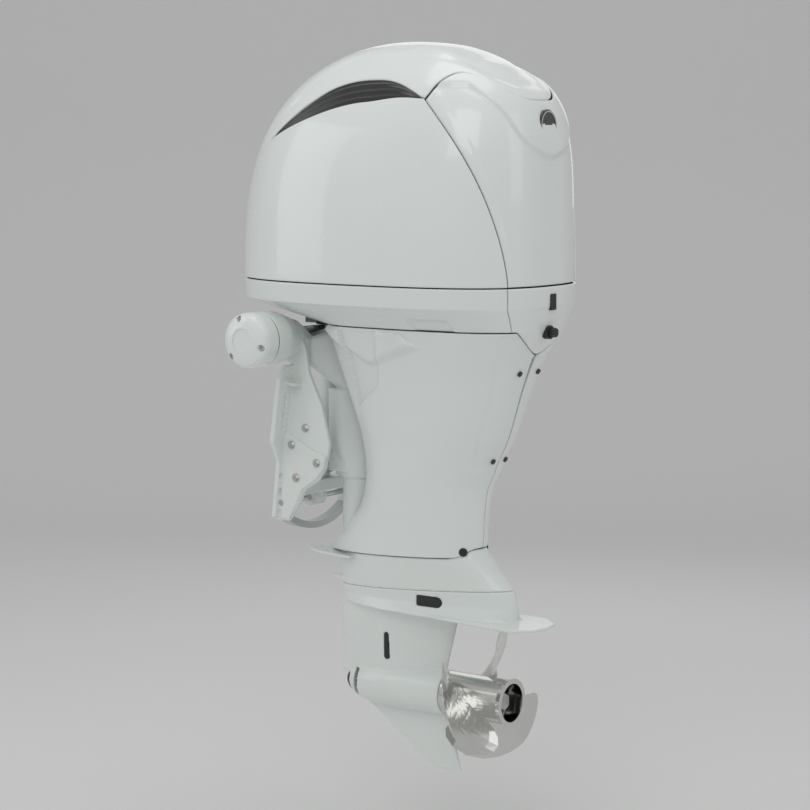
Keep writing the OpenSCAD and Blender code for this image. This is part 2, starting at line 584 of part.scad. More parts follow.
// ---- midsection ----
column_half = 50;
column_front = drive_x + 34;
column_rear = tail_x + 238;
module exhaust_guide() {
    color("lightgray") difference() {
        translate([0, 0, guide_z]) linear_extrude(guide_t) polygon([[column_front, -78], [column_front, 78],
            [drive_x - 60, 112], [tail_x + 190, 112], [tail_x + 150, 80], [tail_x + 150, -80],
            [tail_x + 190, -112], [drive_x - 60, -112]]);
        translate([drive_x, 0, guide_z - 1]) cylinder(r = drive_shaft_r + 5, h = guide_t + 2);
    }
}
casing_rows = [
    [0, -280, -67, tail_x + 112, 74, 1.8, 2.2],
    [0.5, -270, -65, tail_x + 160, 80, 1.8, 2.3],
    [1, -270, -62, tail_x + 206, 86, 1.8, 2.4]];
function casing_z(x, k) = mix(joint_edge(x), foot_edge(x) - cover_gap, k);
module upper_casing() {
    color("white") difference() {
        union() {
            loft([for (k = [0 : 0.2 : 1]) [for (a = [0 : 9 : 351]) let (p = plan(a, curve(casing_rows, k)))
                [p[0], p[1], casing_z(p[0], k)]]]);
            // leg column inside the fairing
            translate([column_rear, -column_half, foot_z - 30]) cube([column_front - column_rear, 2 * column_half,
                arm_z - 4 - foot_z + 30]);
            translate([column_rear, -column_half + 2, 0]) cube([mount_x - 30 - column_rear, 2 * column_half - 4, guide_z]);
            // small fin ahead of the joint
            translate([0, 0, joint_z + 12]) linear_extrude(7) polygon([[-30, 0], [-44, 20], [-120, 46], [-120, -46], [-44, -20]]);
        }
        translate([drive_x, 0, joint_z - 50]) cylinder(r = drive_shaft_r + 5, h = guide_z - joint_z + 60);
        // exhaust passage, and the splash plate's seat
        translate([column_rear + 20, -column_half + 14, joint_z - 50])
            cube([drive_x - 40 - column_rear - 20, 2 * column_half - 28, guide_z - joint_z + 60]);
        // water pump's chamber
        translate([drive_x, 0, joint_z - 20]) cylinder(r = pump_r + 1.5, h = 20 + joint_edge(drive_x) + 54 - joint_z);
        splash_blank();
        translate([steer_x, 0, yoke_z - 7]) cylinder(r = steer_shaft_r + 15, h = 200);
    }
}
splash_z = foot_z - cover_gap - 6;
module splash_blank() {
    translate([0, 0, splash_z]) linear_extrude(6) polygon([[41, 0], [34, 22], [8, 46], [-40, 68], [-110, 86],
        [-150, 88], [-150, -88], [-110, -86], [-40, -68], [8, -46], [34, -22]]);
}
module splash_plate() {
    color("white") splash_blank();
}

// ---- leg fairing, in halves that meet on the centre plane ----
fairing_rows = [0, 0.06, 0.13, 0.22, 0.32, 0.43, 0.54, 0.64, 0.73, 0.81, 0.87, 0.925, 0.95, 1];
function fairing_z(a, v) = mix(v_seam(a) - cover_gap / 2, foot_edge(skin_at(a, foot_z)[0]), v);
function fairing_a(v, u) =
    let (a0 = v > 0.93 ? 0 : fairing_open, a1 = 179.6) mix(a0, a1, u);
function fairing_grid(d, side) = [for (v = fairing_rows) [for (i = [0 : 22])
    let (a = fairing_a(v, i / 22), p = skin_at(a, fairing_z(a, v), d))
    [p[0], side * max(p[1], cover_gap / 4), p[2]]]];
module fairing(side) {
    color("white") if (side > 0) shell(fairing_grid(0, side), fairing_grid(cover_wall, side));
    else shell(fairing_grid(cover_wall, side), fairing_grid(0, side));
}
module fairing_port() {
    fairing(1);
}
module fairing_starboard() {
    fairing(-1);
}
screw_rows = [[0.13, 172], [0.57, 170]];
module fairing_screws() {
    color([0.15, 0.15, 0.16]) both_sides() {
        for (q = screw_rows) let (z = fairing_z(q[1], q[0]), p = skin_at(q[1], z))
            translate(p) rotate([0, 62, 0]) cylinder(r = 7, h = 4, center = true);
        let (p = skin_at(150, foot_z + 36)) translate(p) rotate([-90, 0, 28]) cylinder(r = 11, h = 4, center = true);
        let (p = skin_at(56, fairing_top - 22)) translate(p) rotate([-90, 0, 0]) cylinder(r = 6, h = 4, center = true);
    }
}

// ---- bottom cowl ----
bowl_steps = [0, 0.2, 0.38, 0.44, 0.5, 0.62, 0.78, 1];
function bowl_grid(d, a0, a1, n) = [for (v = bowl_steps) [for (i = [0 : n]) let (a = mix(a0, a1, i / n))
    skin_at(a, mix(seam_z - cover_gap / 2, v_seam(a) + cover_gap / 2, v), d)]];
seam_a = corner_a + corner_sweep;
module bottom_cowl() {
    color("white") shell(bowl_grid(0, -seam_a + 0.4, seam_a - 0.4, 52), bowl_grid(cover_wall, -seam_a + 0.4, seam_a - 0.4, 52));
}
module bottom_cowl_aft() {
    color("white") difference() {
        shell(bowl_grid(0, seam_a, 360 - seam_a, 24), bowl_grid(cover_wall, seam_a, 360 - seam_a, 24));
        translate([tail_x - 20, -14, switch_z - 22]) cube([60, 28, 44]);
        translate([tail_x - 20, 0, flush_z]) rotate([0, 90, 0]) cylinder(r = flush_r + 0.3, h = 60);
    }
}
seal_angles = concat([for (i = [0 : 52]) mix(-seam_a + 0.4, seam_a - 0.4, i / 52)],
    [for (i = [0 : 24]) mix(seam_a, 360 - seam_a, i / 24)]);
function seal_ring(d) = [for (a = seal_angles) plan(a, bowl_rows[4], d)];
module cowl_seal() {
    color([0.05, 0.05, 0.05]) {
        translate([0, 0, seam_z - 7]) linear_extrude(7 - cover_gap / 2) difference() {
            polygon(seal_ring(cover_wall + 0.8));
            polygon(seal_ring(cover_wall + 13));
        }
        // lip that the top cowl is lowered over
        translate([0, 0, seam_z - 7]) linear_extrude(16) difference() {
            polygon(seal_ring(cover_wall + 6));
            polygon(seal_ring(cover_wall + 13));
        }
    }
}
switch_z = seam_z - 40;
module tilt_switch() {
    color([0.1, 0.1, 0.11]) translate([tail_x + 2, 0, switch_z]) difference() {
        translate([-4, -12, -20]) cube([14, 24, 40]);
        rotate([90, 0, 0]) translate([0, 0, -14]) cylinder(r = 2, h = 28);
    }
}
flush_z = fairing_top - 4;
flush_r = 17;
module flush_cap() {
    color([0.08, 0.08, 0.09]) translate([tail_x + 22, 0, flush_z]) rotate([0, -90, 0]) {
        cylinder(r = flush_r, h = 16);
        translate([0, 0, 16]) cylinder(r = 12, h = 16, $fn = 6);
    }
}

// ---- gearcase ----
neck_rows = [
    [0, -280, -67, tail_x + 98, 84, 1.8, 2.6],
    [0.55, -280, -67, tail_x + 104, 70, 1.8, 2.3],
    [1, -280, -67, tail_x + 112, 74, 1.8, 2.2]];
strut_rows = [
    [0, -230, -66, hub_front + 18, 40, 2, 1.5],
    [0.35, -230, -68, hub_front + 2, 44, 2, 1.5],
    [0.75, -230, -68, hub_front - 18, 50, 2, 1.5],
    [1, -230, -67, hub_front - 28, 56, 2, 1.6]];
module gearcase() {
    color("white") difference() {
        union() {
            loft([for (k = [0 : 0.25 : 1]) [for (a = [0 : 10 : 350]) let (p = plan(a, curve(neck_rows, k)))
                [p[0], p[1], mix(plate_edge(p[0]) - 4, joint_edge(p[0]), k)]]]);
            loft([for (k = [0 : 0.2 : 1]) [for (a = [0 : 10 : 350]) let (p = plan(a, curve(strut_rows, k)))
                [p[0], p[1], mix(prop_z + 20, plate_edge(p[0]) - 2, k)]]]);
            // anti-ventilation plate
            translate([-67, 0, plate_z - 4]) rotate([0, -atan(plate_slope), 0]) linear_extrude(8)
                polygon([[-40, 0], [-60, 50], [-110, 66], [-240, 78], [tail_x + 180, 92], [tail_x + 131, 94],
                    [tail_x + 85, 52], [tail_x + 76, 0], [tail_x + 85, -52], [tail_x + 131, -94],
                    [tail_x + 180, -92], [-240, -78], [-110, -66], [-60, -50]]);
            // torpedo around the gears
            translate([0, 0, prop_z]) rotate([0, 90, 0]) rotate([0, 0, 90]) rotate_extrude() polygon(concat(
                [[0, hub_front]], [[torpedo_r, hub_front]], [for (t = [0 : 10 : 90])
                [torpedo_r * cos(t), mix(-215, -83, sin(t))]]));
            // skeg
            hull() {
                translate([-130, -8, prop_z - 40]) cube([1, 16, 10]);
                translate([hub_front + 40, -8, prop_z - 66]) cube([1, 16, 30]);
                translate([hub_front + 2, -7, prop_z - 68]) cube([1, 14, 1]);
                translate([hub_front + 38, -2, skeg_z]) cube([1, 4, 1]);
                translate([hub_front - 38, -2, skeg_z]) cube([1, 4, 1]);
            }
        }
        along_x(chamber_r, hub_front - 60, -131, 0, prop_z);
        along_x(prop_shaft_r + RUN, -131, -105, 0, prop_z);
        translate([drive_x, 0, prop_z]) cylinder(r = drive_shaft_r + 8, h = 400);
        translate([drive_x, 0, prop_z]) cylinder(r = pinion_r + 0.8 * gear_module + 2, h = gear_r + 14);
        // seats of the grilles
        both_sides() inlet_slot();
        both_sides() side_grille();
        both_sides() nose_inlet(-1, 4);
    }
}
module inlet_slot() {
    translate([drive_x - 24, 22, prop_z + 112]) hull() for (z = [-28, 28]) translate([0, 0, z]) rotate([-90, 0, 0])
        cylinder(r = 8, h = 40, $fn = COARSE);
}
module side_grille() {
    translate([drive_x - 200, 48, plate_z + 27]) hull() {
        rotate([-90, 0, 0]) cylinder(r = 13, h = 60, $fn = COARSE);
        translate([62, 0, -13]) cube([1, 60, 28]);
    }
}
// Rounded nose of the torpedo, shrunk by d.
module nose(d = 0) {
    translate([0, 0, prop_z]) rotate([0, 90, 0]) rotate([0, 0, 90]) rotate_extrude() polygon(concat(
        [[0, -215]], [for (t = [0 : 10 : 90]) [(torpedo_r - d) * cos(t), mix(-215, -83 - d, sin(t))]]));
}
module nose_inlet(d0, d1) {
    difference() {
        intersection() {
            nose(d0);
            translate([-116, 9, prop_z - 34]) rotate([0, 10, 0]) cube([20, 60, 60]);
        }
        nose(d1);
    }
}
module water_inlets() {
    color([0.06, 0.06, 0.06]) both_sides() {
        intersection() {
            inlet_slot();
            translate([-600, 24, prop_z]) cube([600, 20, 400]);
        }
        nose_inlet(1, 4);
    }
}
module casing_grilles() {
    color([0.06, 0.06, 0.06]) both_sides() intersection() {
        side_grille();
        translate([-600, 50, plate_z]) cube([600, 18, 100]);
    }
}
carrier_front = -292;
module bearing_carrier() {
    color("lightgray") difference() {
        union() {
            along_x(chamber_r, hub_front + 4, hub_front + 40);
            along_x(chamber_r - 12, hub_front + 30, carrier_front);
        }
        along_x(prop_shaft_r + RUN, hub_front - 1, carrier_front + 1);
    }
}
pump_r = 36;
module water_pump() {
    color("lightgray") difference() {
        translate([drive_x, 0, joint_edge(drive_x) + 2]) cylinder(r = pump_r, h = 50);
        translate([drive_x, 0, joint_z - 20]) cylinder(r = drive_shaft_r + RUN, h = 200);
    }
}

// ---- running gear in the gearcase ----
function tooth_row(teeth, r, add, ded, play) = [for (i = [0 : teeth - 1]) let (p = 360 / teeth)
    each [for (q = [[-0.34, r - ded], [-0.25 + play, r], [-0.13, r + add], [0.13, r + add], [0.25 - play, r], [0.34, r - ded]])
        let (a = (i + q[0]) * p) [q[1] * cos(a), q[1] * sin(a)]]];
// Teeth on a cone whose apex is the origin; the large end lies at z = reach.
module bevel_teeth(teeth, r, reach, tip) {
    add = r * (tan(atan(r / reach) + 0.8 * tooth_angle) * reach / r - 1);
    ded = r * (1 - tan(atan(r / reach) - 1.0 * tooth_angle) * reach / r);
    intersection() {
        translate([0, 0, reach]) mirror([0, 0, 1])
            linear_extrude(reach * tooth_face, scale = 1 - tooth_face) polygon(tooth_row(teeth, r, add, ded, 0.035));
        cylinder(r = tip, h = reach + 1);
    }
}
tooth_angle = gear_module / norm([pinion_r, gear_r]) * 180 / PI;
module bevel_gear(toward) {
    hub_l = 24;
    translate([drive_x, 0, prop_z]) rotate([0, 90 * toward, 0]) difference() {
        union() {
            rotate([0, 0, toward > 0 ? 180 + 180 / gear_teeth : 180 / gear_teeth]) bevel_teeth(gear_teeth, gear_r, pinion_r, gear_tip);
            translate([0, 0, pinion_r - EPS]) cylinder(r = gear_r * pinion_r / (pinion_r + 0.8 * gear_module) - 0.8, h = 14);
            translate([0, 0, pinion_r]) cylinder(r = prop_shaft_r + 11, h = 14 + hub_l);
        }
        translate([0, 0, -1]) cylinder(r = prop_shaft_r + RUN, h = 100);
        // pockets for the clutch's dogs
        translate([0, 0, pinion_r * (1 - tooth_face) - 1]) dogs(dog_h + 2, 1);
    }
}
module dogs(h, play) {
    intersection() {
        difference() {
            cylinder(r = clutch_r + play, h = h);
            translate([0, 0, -1]) cylinder(r = prop_shaft_r + 3 - play, h = h + 2);
        }
        for (i = [0 : 2]) rotate([0, 0, 120 * i]) translate([0, 0, -2]) linear_extrude(h + 4)
            polygon([[0, 0], [60, -22 - play], [60, 22 + play]]);
    }
}
module forward_gear() {
    color("silver") bevel_gear(1);
}
module reverse_gear() {
    color("silver") bevel_gear(-1);
}
clutch_len = 2 * pinion_r * (1 - tooth_face) - clutch_travel - 1;
module dog_clutch() {
    face = drive_x + pinion_r * (1 - tooth_face) - 1;
    color("silver") {
        difference() {
            along_x(clutch_r, face - clutch_len, face);
            along_x(prop_shaft_r + RUN, face - clutch_len - 1, face + 1);
        }
        translate([face - EPS, 0, prop_z]) rotate([0, 90, 0]) dogs(dog_h, 0);
        translate([face - clutch_len + EPS, 0, prop_z]) rotate([0, -90, 0]) dogs(dog_h, 0);
    }
}
module pinion() {
    color("silver") translate([drive_x, 0, prop_z]) difference() {
        union() {
            bevel_teeth(pinion_teeth, pinion_r, gear_r, pinion_r + 0.8 * gear_module);
            translate([0, 0, gear_r - EPS]) cylinder(r = pinion_r - 4, h = 10);
        }
        translate([0, 0, -1]) cylinder(r = drive_shaft_r, h = 100);
    }
}
module driveshaft() {
    low = prop_z + gear_r * (1 - tooth_face) + 1;
    color("silver") translate([drive_x, 0, low]) cylinder(r = drive_shaft_r, h = crank_low - low);
}
module propeller_shaft() {
    color("silver") {
        along_x(prop_shaft_r, hub_rear + 34, -107);
        along_x(23, hub_rear + 40, hub_rear + 58);
        translate([hub_rear + 22, 0, prop_z]) rotate([0, 90, 0]) cylinder(r = 23, h = 18, $fn = 6);
    }
}

// ---- propeller ----
blade_root = hub_r - 4;
function blade_sweep(t) = 34 + 36 * sin(180 * pow(t, 0.8)) * (1 - 0.25 * t) - 14 * t;
function blade_point(t, s, side) =
    let (r = mix(blade_root, prop_r, t),
         half = blade_sweep(t) * sqrt(max(0, 1 - pow(t, 6))),
         a = -14 * t * t + s * half,
         thick = 4.2 * (1 - 0.7 * t) * (1 - s * s) + 0.5,
         x = (hub_front + hub_rear) / 2 + 8 - 30 * t + a / 360 * prop_pitch + side * thick)
    [x, -r * sin(a), r * cos(a)];
blade_t = [0, 0.14, 0.28, 0.42, 0.56, 0.7, 0.82, 0.91, 0.97, 0.995];
module blade() {
    grid = function (side) [for (t = blade_t) [for (s = [-1 : 0.2 : 1]) blade_point(t, s, side)]];
    shell(grid(-1), grid(1));
}
module propeller() {
    color("silver") translate([0, 0, prop_z]) {
        difference() {
            rotate([0, 90, 0]) rotate_extrude() polygon([[hub_r - 9, hub_rear], [hub_r + 4, hub_rear], [hub_r - 1, hub_rear + 14],
                [hub_r, hub_front - 3], [hub_r - 9, hub_front - 3]]);
        }
        rotate([0, 90, 0]) difference() {
            union() {
                translate([0, 0, hub_rear + 60]) cylinder(r = prop_shaft_r + 14, h = hub_front - hub_rear - 66);
                for (i = [0 : 2]) rotate([0, 0, 120 * i + 60]) translate([prop_shaft_r + 8, -4, hub_rear + 60])
                    cube([hub_r - 5 - prop_shaft_r - 8, 8, hub_front - hub_rear - 70]);
            }
            translate([0, 0, hub_rear]) cylinder(r = prop_shaft_r, h = 300);
        }
        for (i = [0 : 2]) rotate([blade_phase + 120 * i, 0, 0]) blade();
    }
}

// ---- powerhead ----
block_z = guide_z + guide_t;
block_h = cowl_height * 0.64 - 20;
crank_low = block_z + 8;
crank_top = block_z + block_h + 16;
bank_angle = 30;
bank_reach = min(cowl_rear - 92, 330);
head_l = 88;
cover_l = 46;
bank_half = min(66, cowl_half_width * 0.25);
module bank(start, length, half, lift, h) {
    both_sides() translate([drive_x, 0, block_z + lift]) rotate([0, 0, 180 - bank_angle]) translate([start, -half, 0])
        cube([length, 2 * half, h]);
}
module engine_block() {
    deck = bank_reach - head_l - cover_l;
    color([0.32, 0.33, 0.35]) difference() {
        union() {
            translate([drive_x, 0, block_z]) cylinder(r = 92, h = block_h);
            bank(20, deck - 20, bank_half, 3, block_h - 6);
            translate([drive_x - 150, -50, block_z + 9]) cube([140, 100, block_h - 18]);
        }
        translate([drive_x, 0, block_z - 1]) cylinder(r = 62, h = block_h + 2);
    }
}
module cylinder_heads() {
    color([0.4, 0.41, 0.43]) bank(bank_reach - head_l - cover_l, head_l, bank_half - 2, 4, block_h - 8);
}
module valve_covers() {
    color([0.2, 0.2, 0.22]) bank(bank_reach - cover_l, cover_l, bank_half - 12, 8, block_h - 16);
}
module intake_manifold() {
    front = drive_x + 98;
    color([0.1, 0.1, 0.11]) both_sides() translate([0, 0, block_z + 30]) {
        for (i = [0 : 2]) translate([drive_x - 24, 116, 24 + i * (block_h - 100) / 3]) rotate([0, 90, 0]) cylinder(r = 22, h = 156);
        translate([front + 32 - EPS, 78, 0]) cube([60, 54, block_h - 80]);
    }
}
module ecu_box() {
    color([0.15, 0.15, 0.16]) translate([drive_x + 104, -60, block_z + 60]) cube([50, 120, block_h - 140]);
}
module flywheel() {
    r = min(cowl_half_width - 130, 152);
    color([0.25, 0.25, 0.27]) translate([drive_x, 0, crank_top - 6]) difference() {
        union() {
            cylinder(r = r, h = 34);
            cylinder(r = 40, h = 48);
        }
        translate([0, 0, -1]) cylinder(r = 20, h = 60);
    }
}
module crankshaft() {
    color("silver") translate([drive_x, 0, 0]) {
        translate([0, 0, crank_low]) cylinder(r = 30, h = block_h - 8);
        translate([0, 0, crank_top - 30]) cylinder(r = 20, h = 72);
        for (i = [0 : 5]) rotate([0, 0, 60 * i]) translate([0, 0, crank_low + 14 + i * (block_h - 50) / 6]) intersection() {
            translate([8, 0, 0]) cylinder(r = 48, h = 16);
            cylinder(r = 58, h = 20);
        }
    }
}

// ---- top cowl ----
side_u = [for (i = [0 : 20]) 0.003 + 0.994 * i / 20];
side_v = [for (i = [0 : 12]) 0.997 * i / 12];
function side_grid(d, side) = [for (v = side_v) [for (u = side_u)
    let (a = mix(front_seam(v), corner_seam(v), u), p = cowl_at(a, v * side_top(mix(36.5, corner_a, u)), d))
    [p[0], side * p[1], p[2]]]];
module cowl_side(side) {
    color("white") if (side < 0) shell(side_grid(0, side), side_grid(cover_wall, side));
    else shell(side_grid(cover_wall, side), side_grid(0, side));
}
module cowl_side_port() {
    cowl_side(1);
}
module cowl_side_starboard() {
    cowl_side(-1);
}
module cowl_rear_panel() {
    function grid(d) = [for (i = [0 : 10]) let (v = 0.997 * i / 10) [for (j = [0 : 20]) let (u = j / 10 - 1, w = abs(u),
        half = 180 - corner_seam(v) - 0.4, h = v * curve(roof_tail_rows, 180 - 66.2 * w)[1])
        cowl_at(180 + u * half, h, d)]];
    color("white") difference() {
        shell(grid(cover_wall), grid(0));
        badge_frame() translate([0, 0, -40]) cylinder(r = badge_r + 0.5, h = 80);
    }
}
roof_half = [0, 8, 16, 24, 28, 32, 36.5, 38, 40, 42, 44.5, 47, 53, 60, 67.5, 75, 82.5, 90, 96, 102, 108, 113.8, 117.5, 121,
    126, 131, 136, 142, 150, 157.5, 165, 172.5];
roof_a = concat(roof_half, [180], [for (i = [len(roof_half) - 1 : -1 : 1]) 360 - roof_half[i]]);
roof_t = [for (i = [1 : 11]) i / 11];
module cowl_roof() {
    m = len(roof_t);
    n = len(roof_a);
    function point(a, t, d) = cowl_at(a, 1 - (1 - roof_edge(a) - (roof_edge(a) > 0 ? 0.004 : 0)) * t * t, d);
    points = concat([for (d = [0, cover_wall]) cowl_at(0, 1, d)],
        [for (d = [0, cover_wall], t = roof_t, a = roof_a) point(a, t, d)]);
    function at(side, i, j) = 2 + side * m * n + i * n + j % n;
    faces = [
        for (j = [0 : n - 1]) each [[0, at(0, 0, j + 1), at(0, 0, j)], [1, at(1, 0, j), at(1, 0, j + 1)]],
        for (i = [0 : m - 2], j = [0 : n - 1]) each [
            [at(0, i, j), at(0, i, j + 1), at(0, i + 1, j + 1)], [at(0, i, j), at(0, i + 1, j + 1), at(0, i + 1, j)],
            [at(1, i, j), at(1, i + 1, j + 1), at(1, i, j + 1)], [at(1, i, j), at(1, i + 1, j), at(1, i + 1, j + 1)]],
        for (j = [0 : n - 1]) each [
            [at(0, m - 1, j), at(0, m - 1, j + 1), at(1, m - 1, j + 1)],
            [at(0, m - 1, j), at(1, m - 1, j + 1), at(1, m - 1, j)]]];
    color("white") polyhedron(points = points, faces = faces, convexity = 8);
}
module cowl_intake_grilles() {
    function grid(d, side) = [for (v = [0 : 0.25 : 1]) [for (i = [0 : 14]) let (a = mix(50, corner_a - 2, i / 14),
        h = mix(side_top(a) - 0.025, min(roof_edge(a) + 0.03, 0.9), v), p = cowl_at(a, h, d)) [p[0], side * p[1], p[2]]]];
    color([0.03, 0.03, 0.03]) {
        shell(grid(cover_wall + 6, 1), grid(cover_wall + 2, 1));
        shell(grid(cover_wall + 2, -1), grid(cover_wall + 6, -1));
    }
}
badge_z = seam_z + 0.655 * cowl_height;
badge_r = 40;
module badge_frame() {
    slope = cowl_at(180, 0.72)[0] - cowl_at(180, 0.59)[0];
    translate([cowl_at(180, 0.655)[0], 0, badge_z]) rotate([0, atan2(slope, 0.13 * cowl_height) - 90, 0]) children();
}
module cowl_badge() {
    color([0.05, 0.05, 0.05]) badge_frame() difference() {
        translate([0, 0, -8]) cylinder(r = badge_r, h = 9);
        translate([0, 0, 0]) cylinder(r = badge_r - 8, h = 4);
    }
}

clamp_bracket_port();
clamp_bracket_starboard();
tilt_bushes();
steering_housing_port();
steering_housing_starboard();
steering_cap_port();
steering_cap_starboard();
cap_seals();
mount_bolts();
bracket_anode();
tilt_pump();
ram_lower_pin();
tilt_ram_cylinder();
tilt_ram_rod();
trim_rods();
swivel_bracket();
tilt_tube();
swivel_bushes();
steering_rod();
steering_shaft();
steering_arm();
lower_yoke();
rubber_mounts();
control_boot();
exhaust_guide();
upper_casing();
fairing_port();
fairing_starboard();
fairing_screws();
bottom_cowl();
bottom_cowl_aft();
cowl_seal();
splash_plate();
gearcase();
water_inlets();
casing_grilles();
bearing_carrier();
water_pump();
engine_block();
cylinder_heads();
valve_covers();
intake_manifold();
ecu_box();
flywheel();
crankshaft();
driveshaft();
pinion();
forward_gear();
reverse_gear();
propeller_shaft();
propeller();
dog_clutch();
cowl_side_port();
cowl_side_starboard();
cowl_roof();
cowl_rear_panel();
cowl_intake_grilles();
cowl_badge();
tilt_switch();
flush_cap();
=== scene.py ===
# %% [markdown]
# # A large white outboard motor
#
# The motor is already designed: its brackets, shafts, gears and covers come in as a fixed frame,
# with every joint in place. This notebook gives that frame its skin and its finishes. Each step
# first says what a piece is on the real motor, then how it is made here.

import math

import bmesh
import bpy
import numpy as np
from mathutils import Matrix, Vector


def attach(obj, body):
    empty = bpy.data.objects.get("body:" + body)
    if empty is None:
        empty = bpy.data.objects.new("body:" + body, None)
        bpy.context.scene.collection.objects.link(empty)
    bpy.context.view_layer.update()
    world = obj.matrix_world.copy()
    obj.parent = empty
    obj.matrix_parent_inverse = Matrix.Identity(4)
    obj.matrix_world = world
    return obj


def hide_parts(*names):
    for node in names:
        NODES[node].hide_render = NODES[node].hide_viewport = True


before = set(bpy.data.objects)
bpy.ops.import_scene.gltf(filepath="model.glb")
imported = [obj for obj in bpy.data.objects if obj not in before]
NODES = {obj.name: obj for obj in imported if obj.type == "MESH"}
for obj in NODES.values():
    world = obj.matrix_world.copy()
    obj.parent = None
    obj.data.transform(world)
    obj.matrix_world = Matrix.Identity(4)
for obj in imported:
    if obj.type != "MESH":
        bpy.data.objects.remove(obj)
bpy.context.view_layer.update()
MM = 0.001

# %% [markdown]
# ## Camera and studio
#
# The motor is seen from behind and to port, from a long way off with a long lens, which keeps its
# upright lines parallel. A white sweep (a floor that curves up into a wall) has no horizon, so the
# background stays plain. White gloss paint shows its shape only through soft gradients, so the
# lights are big panels at different strengths and not small lamps.


# %% Camera
def aim(thing, place, target, up="Y"):
    thing.location = place
    thing.rotation_mode = "QUATERNION"
    thing.rotation_quaternion = (Vector(target) - Vector(place)).to_track_quat("-Z", up)


camera_data = bpy.data.cameras.new("camera")
LENS, SENSOR = 106.67, 36  # millimetres
CAMERA_PLACE, CAMERA_TARGET = (-3.8668, 5.0467, 0.617), (-0.267, 0, -0.1058)
camera_data.lens = LENS
camera_data.sensor_width = SENSOR
camera = bpy.data.objects.new("camera", camera_data)
bpy.context.scene.collection.objects.link(camera)
aim(camera, CAMERA_PLACE, CAMERA_TARGET)
bpy.context.scene.camera = camera
bpy.context.scene.view_settings.view_transform = "Standard"
print("camera", [round(c, 2) for c in camera.location])


# %% [markdown]
# In a studio, a big soft panel gives a glossy cover one broad highlight and a long gradient. Five
# panels do that here: a key from port, weaker ones at the bow, the tail and the far side, and one
# above. A small lamp would leave hard white dots on the clear coat.


# %% Light panels and the white sweep
def panel(name, place, target, width, height, power, tint=(1, 1, 1)):
    data = bpy.data.lights.new(name, "AREA")
    data.shape, data.size, data.size_y, data.energy, data.color = "RECTANGLE", width, height, power, tint
    light = bpy.data.objects.new(name, data)
    bpy.context.scene.collection.objects.link(light)
    aim(light, place, target)


panel("key_panel", (-1.6, 3.4, 2.6), (-0.3, 0, 0.1), 2.4, 2.4, 26)
panel("tail_panel", (-4.2, -0.6, 1.6), (-0.4, 0, 0), 1.6, 2.6, 9)
panel("bow_panel", (3.0, 2.6, 1.2), (-0.2, 0, -0.2), 1.8, 2.6, 14)
panel("top_panel", (-0.4, 0.3, 3.4), (-0.4, 0, 0), 2.6, 2.0, 20)
panel("back_panel", (1.2, -3.4, 1.4), (-0.3, 0, 0), 2.4, 2.4, 10)

world = bpy.data.worlds.new("studio")
bpy.context.scene.world = world
world.use_nodes = True
world.node_tree.nodes["Background"].inputs["Color"].default_value = (1, 1, 1, 1)
world.node_tree.nodes["Background"].inputs["Strength"].default_value = 0.5


def sweep():
    floor_z, wall, rise, bend = -1.3, 7.0, 6.0, 2.0
    profile = [(-9, floor_z), (wall - bend, floor_z)]
    profile += [(wall - bend + bend * math.sin(t), floor_z + bend - bend * math.cos(t))
                for t in np.linspace(0.1, math.pi / 2, 14)]
    profile += [(wall, floor_z + rise)]
    away = Vector((3.6, -5.05, 0)).normalized()
    side = Vector((-away.y, away.x, 0))
    verts = [away * s + side * w + Vector((0, 0, z)) for s, z in profile for w in (-12, 12)]
    faces = [(2 * i, 2 * i + 1, 2 * i + 3, 2 * i + 2) for i in range(len(profile) - 1)]
    mesh = bpy.data.meshes.new("sweep")
    mesh.from_pydata(verts, [], faces)
    mesh.shade_smooth()
    obj = bpy.data.objects.new("sweep", mesh)
    bpy.context.scene.collection.objects.link(obj)


sweep()
print("five panels and a sweep")

# %% [markdown]
# ## Shader maths as expressions
#
# A material is a graph of small nodes. Written one by one, a formula such as `1 - mask * 0.2` takes
# a dozen lines. The class below wraps a node's output, so that ordinary Python operators add the
# Math nodes. Anything else comes from `Finish.node`, which sets a node's options first and its
# sockets after, because some options change which sockets there are.


# %% Socket and finish classes
class Wire:
    def __init__(self, finish, socket):
        self.finish, self.socket = finish, socket

    def _math(self, operation, first, second):
        return self.finish.node("ShaderNodeMath", {"operation": operation}, i0=first, i1=second)

    def __add__(self, other):
        return self._math("ADD", self, other)

    def __radd__(self, other):
        return self._math("ADD", other, self)

    def __sub__(self, other):
        return self._math("SUBTRACT", self, other)

    def __rsub__(self, other):
        return self._math("SUBTRACT", other, self)

    def __mul__(self, other):
        return self._math("MULTIPLY", self, other)

    def __rmul__(self, other):
        return self._math("MULTIPLY", other, self)


